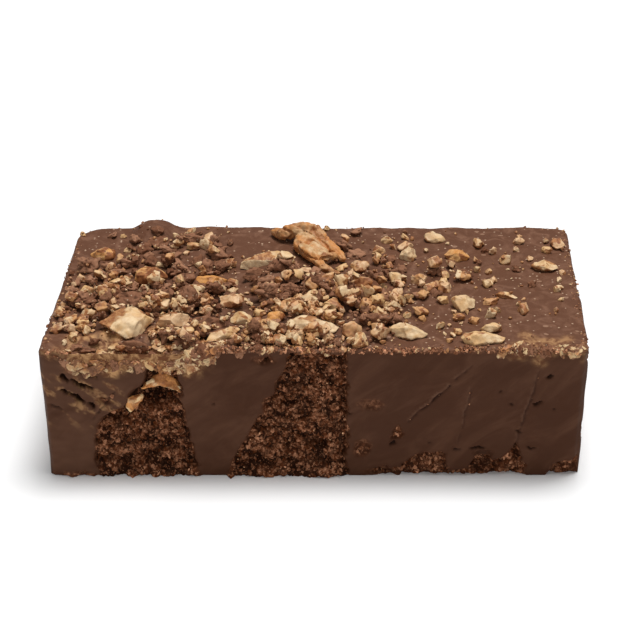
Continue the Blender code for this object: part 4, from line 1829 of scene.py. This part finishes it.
@dataclass(frozen=True)
class Sprinkle:
    """Crumbs too small for the solids: how many, their sizes in millimetres, and how they lie.

    bias is how much commoner the small ones are, lift and flatness are as in Topping._drop, and
    back is how far back they reach, as a share of the bar's depth from its middle.
    """

    kind: Kind
    count: int
    smallest: float
    largest: float
    evenness: float
    seed: int
    bias: float = 2.2
    lift: float = 0.25
    flatness: float = 1.0
    back: float = 0.5


@dataclass
class Topping:
    """Everything small on the top: what the solids fuse to the bar, and finer crumbs."""

    body: FudgeBody
    finishes: Finishes
    pile: Pile
    sprinkles: tuple[Sprinkle, ...] = (
        Sprinkle(Kind.CHOCOLATE, 84, 3.6, 6.6, 0.0, 100, bias=1.1, flatness=0.62, lift=0.1),
        Sprinkle(Kind.CHOCOLATE, 170, 2.0, 4.4, 0.0, 101, bias=1.4),
        Sprinkle(Kind.TAN, 110, 1.6, 4.2, 0.02, 103, bias=1.4),
        Sprinkle(Kind.CREAM, 150, 1.3, 3.8, 0.04, 104, bias=1.4),
        Sprinkle(Kind.CHOCOLATE, 300, 0.6, 1.6, 0.02, 105),
        Sprinkle(Kind.TAN, 360, 0.35, 1.3, 0.04, 106),
        Sprinkle(Kind.CREAM, 420, 0.25, 1.0, 0.06, 107),
        Sprinkle(Kind.TAN, 120, 1.0, 3.0, 0.0, 108, back=-0.2),
        Sprinkle(Kind.CREAM, 80, 1.0, 3.0, 0.0, 110, back=-0.2),
    )
    fringe: int = 360
    fringe_seed: int = 109
    fringe_mixture: tuple[float, float, float] = (0.62, 0.31, 0.07)
    stack: float = 2.4 * MM  # how high crumbs may lie on others

    def matrix(self, chip: Chip) -> Matrix:
        """Where a chip lies, turned and pressed into the top, with its size."""
        x, y = chip.x * MM, chip.y * MM
        z = self.body.shape.height + self.body.shape.top_rise(x, y)
        z += (0.5 - chip.sink) * chip.height * MM
        sizes = (chip.length * MM, chip.width * MM, chip.height * MM)
        return laid(Vector((x, y, z)), Euler((0, 0, math.radians(chip.turn))), sizes)

    def scattered(self) -> list[tuple[Chip, int]]:
        """The chips of the seeded rule that the solids follow, each with its own seed."""
        made: list[tuple[Chip, int]] = []
        taken = [(chip.x * MM, chip.y * MM, chip.length * MM) for chip in FUSED_CHIPS]
        boxes = [self._box_in_plan(name) for name in frame["nodes"] if name != BAR]
        shape = self.body.shape
        for kind in SCATTERS:
            for number in range(kind.tries):
                rng = random.Random(kind.seed * 1000 + number)
                x = rng.uniform(-0.48, 0.48) * shape.length
                y = rng.uniform(-0.47, 0.46) * shape.depth
                size = rng.uniform(kind.smallest, kind.largest)
                width, turn = size * rng.uniform(0.55, 0.85), rng.uniform(0, 360)
                if rng.random() > kind.evenness + thickness(x, y):
                    continue
                if not self._is_clear(x, y, size * MM, taken, boxes):
                    continue
                taken.append((x, y, size * MM))
                chip = Chip(kind.kind, x / MM, y / MM, size, width, size * 0.8, turn, sink=0.4)
                made.append((chip, kind.seed + number))
        return made

    @staticmethod
    def _box_in_plan(name: str) -> tuple[float, float, float, float]:
        """Lowest x and y and highest x and y of a CAD node, in the layout's coordinates."""
        low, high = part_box(name)
        return low[0] + ORIGIN.x, low[1] + ORIGIN.y, high[0] + ORIGIN.x, high[1] + ORIGIN.y

    @staticmethod
    def _is_clear(x: float, y: float, size: float, taken: list, boxes: list) -> bool:
        """Tells whether a chip at (x, y) touches nothing that is there already.

        Args:
            x: Place along the bar.
            y: Place across it.
            size: The chip's length.
            taken: (x, y, size) of each chip that is there.
            boxes: The nuts' boxes in plan.

        Returns:
            True if the chip has room.
        """
        for other_x, other_y, other in taken:
            if math.hypot(x - other_x, y - other_y) < 0.5 * (size + other):
                return False
        room = 0.62 * size
        for low_x, low_y, high_x, high_y in boxes:
            if low_x - room < x < high_x + room and low_y - room < y < high_y + room:
                return False
        return True

    def build(self) -> list[Piece]:
        """Builds one piece for each kind of topping, and one for the slabs of fudge.

        Returns:
            The pieces.
        """
        self._cover_nuts()
        heaps = {kind: Heap() for kind in Kind}
        slabs, grains = Heap(), Heap()
        for number, chip in enumerate(FUDGE_SLABS):
            form = Lump(90 + number, detail=5, crags=0.05, fine=0.04).form()
            self._lay(slabs, form, chip, 0.35)
        for number, chip in enumerate(FUSED_CHIPS):
            form = Lump(40 + number, crags=0.05, fine=0.04).form()
            self._lay(heaps[chip.kind], form, chip, random.Random(number).random())
        for chip, seed in self.scattered():
            crags = 0.14 if chip.kind is Kind.CHOCOLATE else 0.05
            form = Lump(seed, detail=4, crags=crags).form()
            self._lay(heaps[chip.kind], form, chip, random.Random(seed).random())
        crumbs = family(200, 12, facets=2, detail=3, rough=0.35, crags=0.16)
        chips = family(260, 20, facets=5, detail=3, rough=0.38, crags=0.035, fine=0.035)
        bits = family(230, 14, facets=4, detail=2, rough=0.3, fine=0.05)
        for sprinkle in self.sprinkles:
            chocolate = sprinkle.kind is Kind.CHOCOLATE
            large = crumbs if chocolate else chips
            heap = grains if chocolate and sprinkle.largest < 2 else heaps[sprinkle.kind]
            self._sprinkle(heap, large if sprinkle.largest > 2 else bits, sprinkle)
        self._edge(heaps, grains, bits)
        return [
            heaps[Kind.CHOCOLATE].settle("fudge_crumbs", self.finishes.crumb, Slot.FUDGE),
            grains.settle("fudge_grains", self.finishes.crumb, Slot.FUDGE, soft=False),
            heaps[Kind.CREAM].settle("cream_chips", self.finishes.nuts["cream"], Slot.FLESH),
            heaps[Kind.TAN].settle("toasted_chips", self.finishes.nuts["tan"], Slot.TOASTED),
            slabs.settle("fudge_slabs", self.finishes.crumb, Slot.FUDGE),
        ]

    def _lay(self, heap: Heap, form: Form, chip: Chip, tint_and_shade: float) -> None:
        """Lays a chip of the solids.

        Args:
            heap: Where it goes.
            form: Its form.
            chip: Its place and size.
            tint_and_shade: Its tint, from 0 to 1.
        """
        where = self.matrix(chip)
        heap.add(form, where, tint_and_shade)
        top = where.translation.z + 0.4 * chip.height * MM
        self.pile.cover(chip.x * MM, chip.y * MM, 0.4 * (chip.length + chip.width) * MM, top)

    def _on_nut(self, x: float, y: float, size: float) -> bool:
        """True where a crumb of this size would lie on a nut or a large chip of the solids."""
        part, away = self.pile.disc(x, y, max(0.38 * size, 0.8 * self.pile.cell))
        return bool(self.nuts[part][away < 1].any())

    def _cover_nuts(self) -> None:
        """Marks where the nuts of the solids lie, and raises the pile there."""
        self.nuts = np.zeros_like(self.pile.heights, dtype=bool)
        for chip in (chip for chip in FUSED_CHIPS + FUDGE_SLABS if chip.length > 3.2):
            self._mark(chip.x * MM, chip.y * MM, 0.22 * (chip.length + chip.width) * MM)
        for name, node in frame["nodes"].items():
            if name == BAR:
                continue
            for vertex in node.data.vertices:
                place = vertex.co + ORIGIN
                self._mark(place.x, place.y, 0.7 * MM)
                self.pile.cover(place.x, place.y, 0.9 * MM, place.z)

    def _mark(self, x: float, y: float, radius: float) -> None:
        """Marks a disc of the top as covered by nut."""
        away = np.hypot(self.pile.xs[:, None] - x, self.pile.ys[None, :] - y)
        self.nuts |= away < radius

    def _sprinkle(self, heap: Heap, forms: list[Form], sprinkle: Sprinkle) -> None:
        """Scatters crumbs over the top, thick where the topping is, each on what is there already.

        Args:
            heap: Where they go.
            forms: The forms that they repeat.
            sprinkle: How many there are, and how large.
        """
        rng = random.Random(sprinkle.seed)
        shape = self.body.shape
        placed = 0
        while placed < sprinkle.count:
            share = rng.random() ** sprinkle.bias
            size = (sprinkle.smallest + (sprinkle.largest - sprinkle.smallest) * share) * MM
            x = rng.uniform(-0.5, 0.5) * (shape.length - 1.5 * size)
            y = rng.uniform(-0.5, sprinkle.back) * (shape.depth - 1.5 * size)
            place = self.body.placed(x, y, shape.height)
            likely = sprinkle.evenness + thickness(place.x, place.y) ** 1.3
            if sprinkle.kind is Kind.CHOCOLATE:
                likely *= 1 - 0.85 * smooth(place.x, 10 * MM, 20 * MM)
            if rng.random() > likely or self._on_nut(place.x, place.y, size):
                continue
            placed += 1
            form = rng.choice(forms)
            self._drop(heap, rng, form, place, size, sprinkle.lift, sprinkle.flatness)

    def _drop(
        self,
        heap: Heap,
        rng: random.Random,
        form: Form,
        spot: Vector,
        size: float,
        lift: float,
        flatness: float = 1.0,
    ) -> None:
        """Lays one crumb on what is there already.

        Args:
            heap: Where it goes.
            rng: The draws for its turn and shape.
            form: Its form.
            spot: Its place in plan.
            size: Its length.
            lift: How far its middle lies above what carries it, as a share of its height.
            flatness: Its height as a share of an ordinary crumb's.
        """
        x, y, _ = spot
        height = size * rng.uniform(0.5, 0.85) * flatness
        highest = self.body.top_at(x, y) + self.stack
        ground = min(self.pile.rest(x, y, 0.35 * size), highest)
        place = Vector((x, y, ground + lift * height))
        turn = Euler((rng.uniform(-0.6, 0.6), rng.uniform(-0.6, 0.6), rng.uniform(0, math.tau)))
        sizes = (size, size * rng.uniform(0.6, 0.95), height)
        heap.add(form, laid(place, turn, sizes), rng.random())
        self.pile.cover(x, y, 0.45 * size, place.z + 0.4 * height)

    def _edge(self, heaps: dict[Kind, Heap], grains: Heap, forms: list[Form]) -> None:
        """Lays fine crumbs along the upper edges, where the knife broke them loose.

        Args:
            heaps: Heaps of nut, by kind.
            grains: The heap of fine fudge crumbs.
            forms: The forms that they repeat.
        """
        rng = random.Random(self.fringe_seed)
        shape = self.body.shape
        for _ in range(self.fringe):
            side, along = rng.random(), rng.uniform(-0.49, 0.49)
            inward = rng.uniform(0.5, 1.8) * MM
            if side < 0.5:
                x, y = along * shape.length, inward - shape.depth / 2
            elif side < 0.75:
                x, y = shape.length / 2 - inward, along * shape.depth
            elif side < 0.93:
                x, y = inward - shape.length / 2, along * shape.depth
            else:
                x, y = along * shape.length, shape.depth / 2 - inward
            place = self.body.placed(x, y, shape.height)
            kind = rng.choices((Kind.CHOCOLATE, Kind.TAN, Kind.CREAM), self.fringe_mixture)[0]
            heap = grains if kind is Kind.CHOCOLATE else heaps[kind]
            size = (0.3 + 0.7 * rng.random() ** 3) * MM
            self._drop(heap, rng, rng.choice(forms), place, size, -0.1)


@dataclass(frozen=True)
class Stretch:
    """A stretch of the front edge with paste on it, with its sizes in millimetres.

    start and end are its ends, and down and back are how far it reaches down the cut and back
    over the top. Its pieces are paste, clean nut and fudge, in the shares that mixture gives.
    """

    start: float
    end: float
    count: int
    down: float
    back: float
    largest: float
    seed: int
    mixture: tuple[float, float, float] = (0.5, 0.2, 0.3)


@dataclass
class NutPaste:
    """Nut and fudge kneaded together, which the knife dragged over the front edge."""

    body: FudgeBody
    stretches: tuple[Stretch, ...] = (
        Stretch(-50, -37, 56, 3.4, 3.6, 4.0, 301, (0.55, 0.15, 0.3)),
        Stretch(-37, -29, 56, 2.6, 5.0, 4.0, 302, (0.45, 0.35, 0.2)),
        Stretch(-29, -19, 66, 3.2, 4.5, 4.2, 305, (0.5, 0.25, 0.25)),
        Stretch(-22, 8, 100, 1.2, 3.4, 2.2, 303, (0.35, 0.25, 0.4)),
        Stretch(8, 40, 36, 0.4, 0.9, 1.2, 306, (0.4, 0.05, 0.55)),
        Stretch(38, 55, 56, 1.0, 2.6, 3.2, 304, (0.5, 0.1, 0.4)),
    )
    smallest: float = 0.6
    fine_below: float = 2.2 * MM
    flat: tuple[float, float] = (0.18, 0.42)

    def build(self, finishes: Finishes) -> list[Piece]:
        """Builds the paste.

        Args:
            finishes: Every material.

        Returns:
            One piece with the paste, one with the flakes of nut and one with the fudge in it.
        """
        heaps = (Heap(), Heap(), Heap())
        for stretch in self.stretches:
            rng = random.Random(stretch.seed)
            for number in range(stretch.count):
                x = rng.uniform(stretch.start, stretch.end) * MM
                span = stretch.largest - self.smallest
                size = (self.smallest + span * rng.random() ** 1.4) * MM
                along = rng.uniform(-stretch.back, stretch.down) * MM
                detail = 4 if size > self.fine_below else 3
                seed = stretch.seed * 200 + number
                lump = Lump(seed, facets=4, detail=detail, rough=0.45, crags=0.06, fine=0.06)
                place, normal = self.body.on_edge(x, along)
                spin = Matrix.Rotation(rng.uniform(0, math.tau), 4, "Z")
                face = normal.to_track_quat("Z", "Y").to_matrix().to_4x4() @ spin
                sizes = (size, size * rng.uniform(0.5, 0.9), size * rng.uniform(*self.flat), 1)
                where = Matrix.Translation(place) @ face @ Matrix.Diagonal(sizes)
                rng.choices(heaps, stretch.mixture)[0].add(lump.form(), where, rng.random())
        return [
            heaps[0].settle("nut_paste", finishes.nuts["paste"], Slot.TOASTED),
            heaps[1].settle("paste_flakes", finishes.nuts["cream"], Slot.FLESH),
            heaps[2].settle("paste_fudge", finishes.crumb, Slot.FUDGE),
        ]


@dataclass
class Walnuts:
    """The nuts that are nodes of their own: each CAD nut's shape, with its flesh worked finer."""

    finishes: Finishes
    edge: float = 0.42 * MM
    ridge: float = 0.34 * MM
    broken: float = 0.30 * MM
    fine: float = 0.08 * MM
    folds: int = 9
    fold_depth: float = 0.55 * MM
    kernel_share: float = 0.6

    def build(self) -> list[Piece]:
        """Builds one piece for each CAD nut.

        Returns:
            The pieces.
        """
        slots = {row["node"]: row["material_slot"] for row in frame["record"]["subparts"]}
        pieces = []
        for number, name in enumerate(sorted(frame["nodes"])):
            if name == BAR:
                continue
            slot = Slot(slots[name])
            passes = self.folds if name == "walnut_kernel" else 0
            bm = self._worked(frame["nodes"][name].data, number, passes)
            if name in SKIN_SIDES:
                self._clad(bm, Vector(SKIN_SIDES[name]), number)
            bmesh.ops.translate(bm, vec=ORIGIN, verts=bm.verts)
            piece = settle(name + "_flesh", bm, self.finishes.of_nut(name, slot), slot)
            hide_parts(name)
            pieces.append(piece)
        return pieces

    def _worked(self, mesh: bpy.types.Mesh, seed: int, passes: int) -> BMesh:
        """Copies a nut's mesh, cuts it finer and gives it ridges.

        Args:
            mesh: The CAD node's mesh, which stays as it is.
            seed: Which ridges it gets.
            passes: How often it is smoothed.

        Returns:
            The new mesh.
        """
        bm = bmesh.new()
        bm.from_mesh(mesh)
        bmesh.ops.remove_doubles(bm, verts=bm.verts, dist=0.01 * MM)
        cut = bm.faces.layers.int.new("cut")
        for face in bm.faces:
            face[cut] = int(any(e.is_manifold and e.calc_face_angle() < 0.03 for e in face.edges))
        limit = self.edge * (self.kernel_share if passes else 1)
        for _ in range(6):
            long = [e for e in bm.edges if e.calc_length() > limit]
            if not long:
                break
            bmesh.ops.subdivide_edges(bm, edges=long, cuts=1)
            bmesh.ops.triangulate(bm, faces=bm.faces)
        layers = {name: bm.verts.layers.float.new(name) for name in NUT_MARKS}
        for vertex in bm.verts:
            cuts = [face[cut] for face in vertex.link_faces]
            vertex[layers["skin"]] = 1 - sum(cuts) / len(cuts)
        for _ in range(passes):
            bmesh.ops.smooth_vert(
                bm, verts=bm.verts, factor=0.5, use_axis_x=True, use_axis_y=True, use_axis_z=True
            )
        self._ridge(bm, layers, seed, self.fold_depth if passes else 0.0)
        return bm

    @staticmethod
    def _clad(bm: BMesh, side: Vector, seed: int) -> None:
        """Marks one side of a nut as skin.

        Args:
            bm: The nut's mesh.
            side: The way to that side.
            seed: Which ragged outline the skin gets.
        """
        skin = bm.verts.layers.float["skin"]
        reaches = [vertex.co.dot(side) for vertex in bm.verts]
        low, high = min(reaches), max(reaches)
        for vertex, reach in zip(bm.verts, reaches):
            share = (reach - low) / (high - low) + 0.2 * wave(vertex.co, 2.2 * MM, seed + 60)
            vertex[skin] = max(vertex[skin], smooth(share, 0.5, 0.7))

    def _ridge(self, bm: BMesh, layers: dict[str, object], seed: int, crease: float) -> None:
        """Raises ridges on a nut, strong on its skin and faint on its cuts.

        Args:
            bm: The nut's mesh.
            layers: The marks, by name.
            seed: Which ridges it gets.
            crease: How deep its long creases are.
        """
        bm.normal_update()
        shade = random.Random(seed + 300).random()
        moves = []
        for vertex in bm.verts:
            share = 0.2 + 0.8 * vertex[layers["skin"]]
            ridges = 1 - 2 * abs(wave(vertex.co, 2.6 * MM, seed + 0.5))
            broken = grain(vertex.co, 1.7 * MM, seed + 7) - 0.5
            out = share * self.ridge * (ridges - 0.6) + self.fine * wave(vertex.co, 0.6 * MM, seed)
            out += (1.1 - share) * self.broken * broken
            # painted shade: the creases between ridges, the gaps in broken flesh and the kernel's
            # crease lines are marked to be darkened
            creased = share * smooth(-ridges, -0.45, 0.35)
            creased = max(creased, 0.5 * (1 - share) * smooth(-broken, 0.05, 0.4))
            if crease:
                x, y, z = vertex.co
                run = (0.3 * (0.6 * x - 0.8 * y), 0.8 * x + 0.6 * y, z)
                line = 1 - smooth(abs(wave(run, 2.6 * MM, seed + 11)), 0.0, 0.2)
                out -= crease * line
                creased = max(creased, 0.85 * line)
            vertex[layers["hollow"]] = creased
            vertex[layers["tint_and_shade"]] = shade
            moves.append(vertex.co + vertex.normal * out)
        for vertex, place in zip(bm.verts, moves):
            vertex.co = place


@dataclass(frozen=True)
class Lamp:
    """A soft light: its place and width in metres, and its power in watts."""

    name: str
    place: tuple[float, float, float]
    size: float
    power: float


@dataclass(frozen=True)
class Studio:
    """Camera at the photograph's angle, soft light from above, and a pale floor."""

    focal_mm: float = 121.3
    sensor_mm: float = 36.0
    camera_place: tuple[float, float, float] = (0, -0.4075, 0.2394)
    camera_pitch: float = math.radians(62)
    floor_size: float = 6.0
    floor_gap: float = 0.02 * MM
    sky_strength: float = 0.2
    lamps: tuple[Lamp, ...] = (
        Lamp("top_light", (0.25, 0.35, 2.2), 1.1, 55.0),
        Lamp("front_light", (-0.3, -2.0, 0.9), 1.6, 9.0),
    )

    def build(self) -> None:
        """Sets up everything around the bar."""
        self._camera()
        self._floor()
        self._sky()
        for lamp in self.lamps:
            self._hang(lamp)
        bpy.context.scene.view_settings.view_transform = "Standard"

    def _camera(self) -> None:
        """Places the camera."""
        lens = bpy.data.cameras.new("camera")
        lens.lens = self.focal_mm
        lens.sensor_width = self.sensor_mm
        lens.clip_start = 0.01
        camera = bpy.data.objects.new("camera", lens)
        camera.location = Vector(self.camera_place) - ORIGIN
        camera.rotation_euler = (self.camera_pitch, 0, 0)
        bpy.context.scene.collection.objects.link(camera)
        bpy.context.scene.camera = camera

    def _floor(self) -> None:
        """Lays the floor just under the bar."""
        bm = bmesh.new()
        bmesh.ops.create_grid(bm, x_segments=4, y_segments=4, size=self.floor_size / 2)
        bmesh.ops.translate(bm, vec=(0, 0, -self.floor_gap), verts=bm.verts)
        mesh = bpy.data.meshes.new("floor")
        bm.to_mesh(mesh)
        bm.free()
        mesh.materials.append(FloorFinish().build())
        floor = bpy.data.objects.new("floor", mesh)
        bpy.context.scene.collection.objects.link(floor)

    def _sky(self) -> None:
        """Gives even light from all round."""
        world = bpy.data.worlds.new("studio")
        world.use_nodes = True
        background = world.node_tree.nodes["Background"]
        background.inputs["Color"].default_value = (1, 1, 1, 1)
        background.inputs["Strength"].default_value = self.sky_strength
        bpy.context.scene.world = world

    @staticmethod
    def _hang(lamp: Lamp) -> None:
        """Hangs a light, aimed at the bar."""
        light = bpy.data.lights.new(lamp.name, "AREA")
        light.size = lamp.size
        light.energy = lamp.power
        hung = bpy.data.objects.new(lamp.name, light)
        hung.location = lamp.place
        hung.rotation_euler = (-Vector(lamp.place)).to_track_quat("-Z", "Y").to_euler()
        bpy.context.scene.collection.objects.link(hung)


def main() -> None:
    """Builds the bar, its toppings and the studio, in order."""
    logging.basicConfig(level=logging.INFO, format="%(name)s: %(message)s")
    Studio().build()
    finishes = Finishes()
    body = FudgeBody(BarShape())
    body.build(finishes.fudge)
    TornCrumbs(body).build(finishes.torn_crumb)
    Topping(body, finishes, Pile(body)).build()
    NutPaste(body).build(finishes)
    Walnuts(finishes).build()


if __name__ == "__main__":
    main()
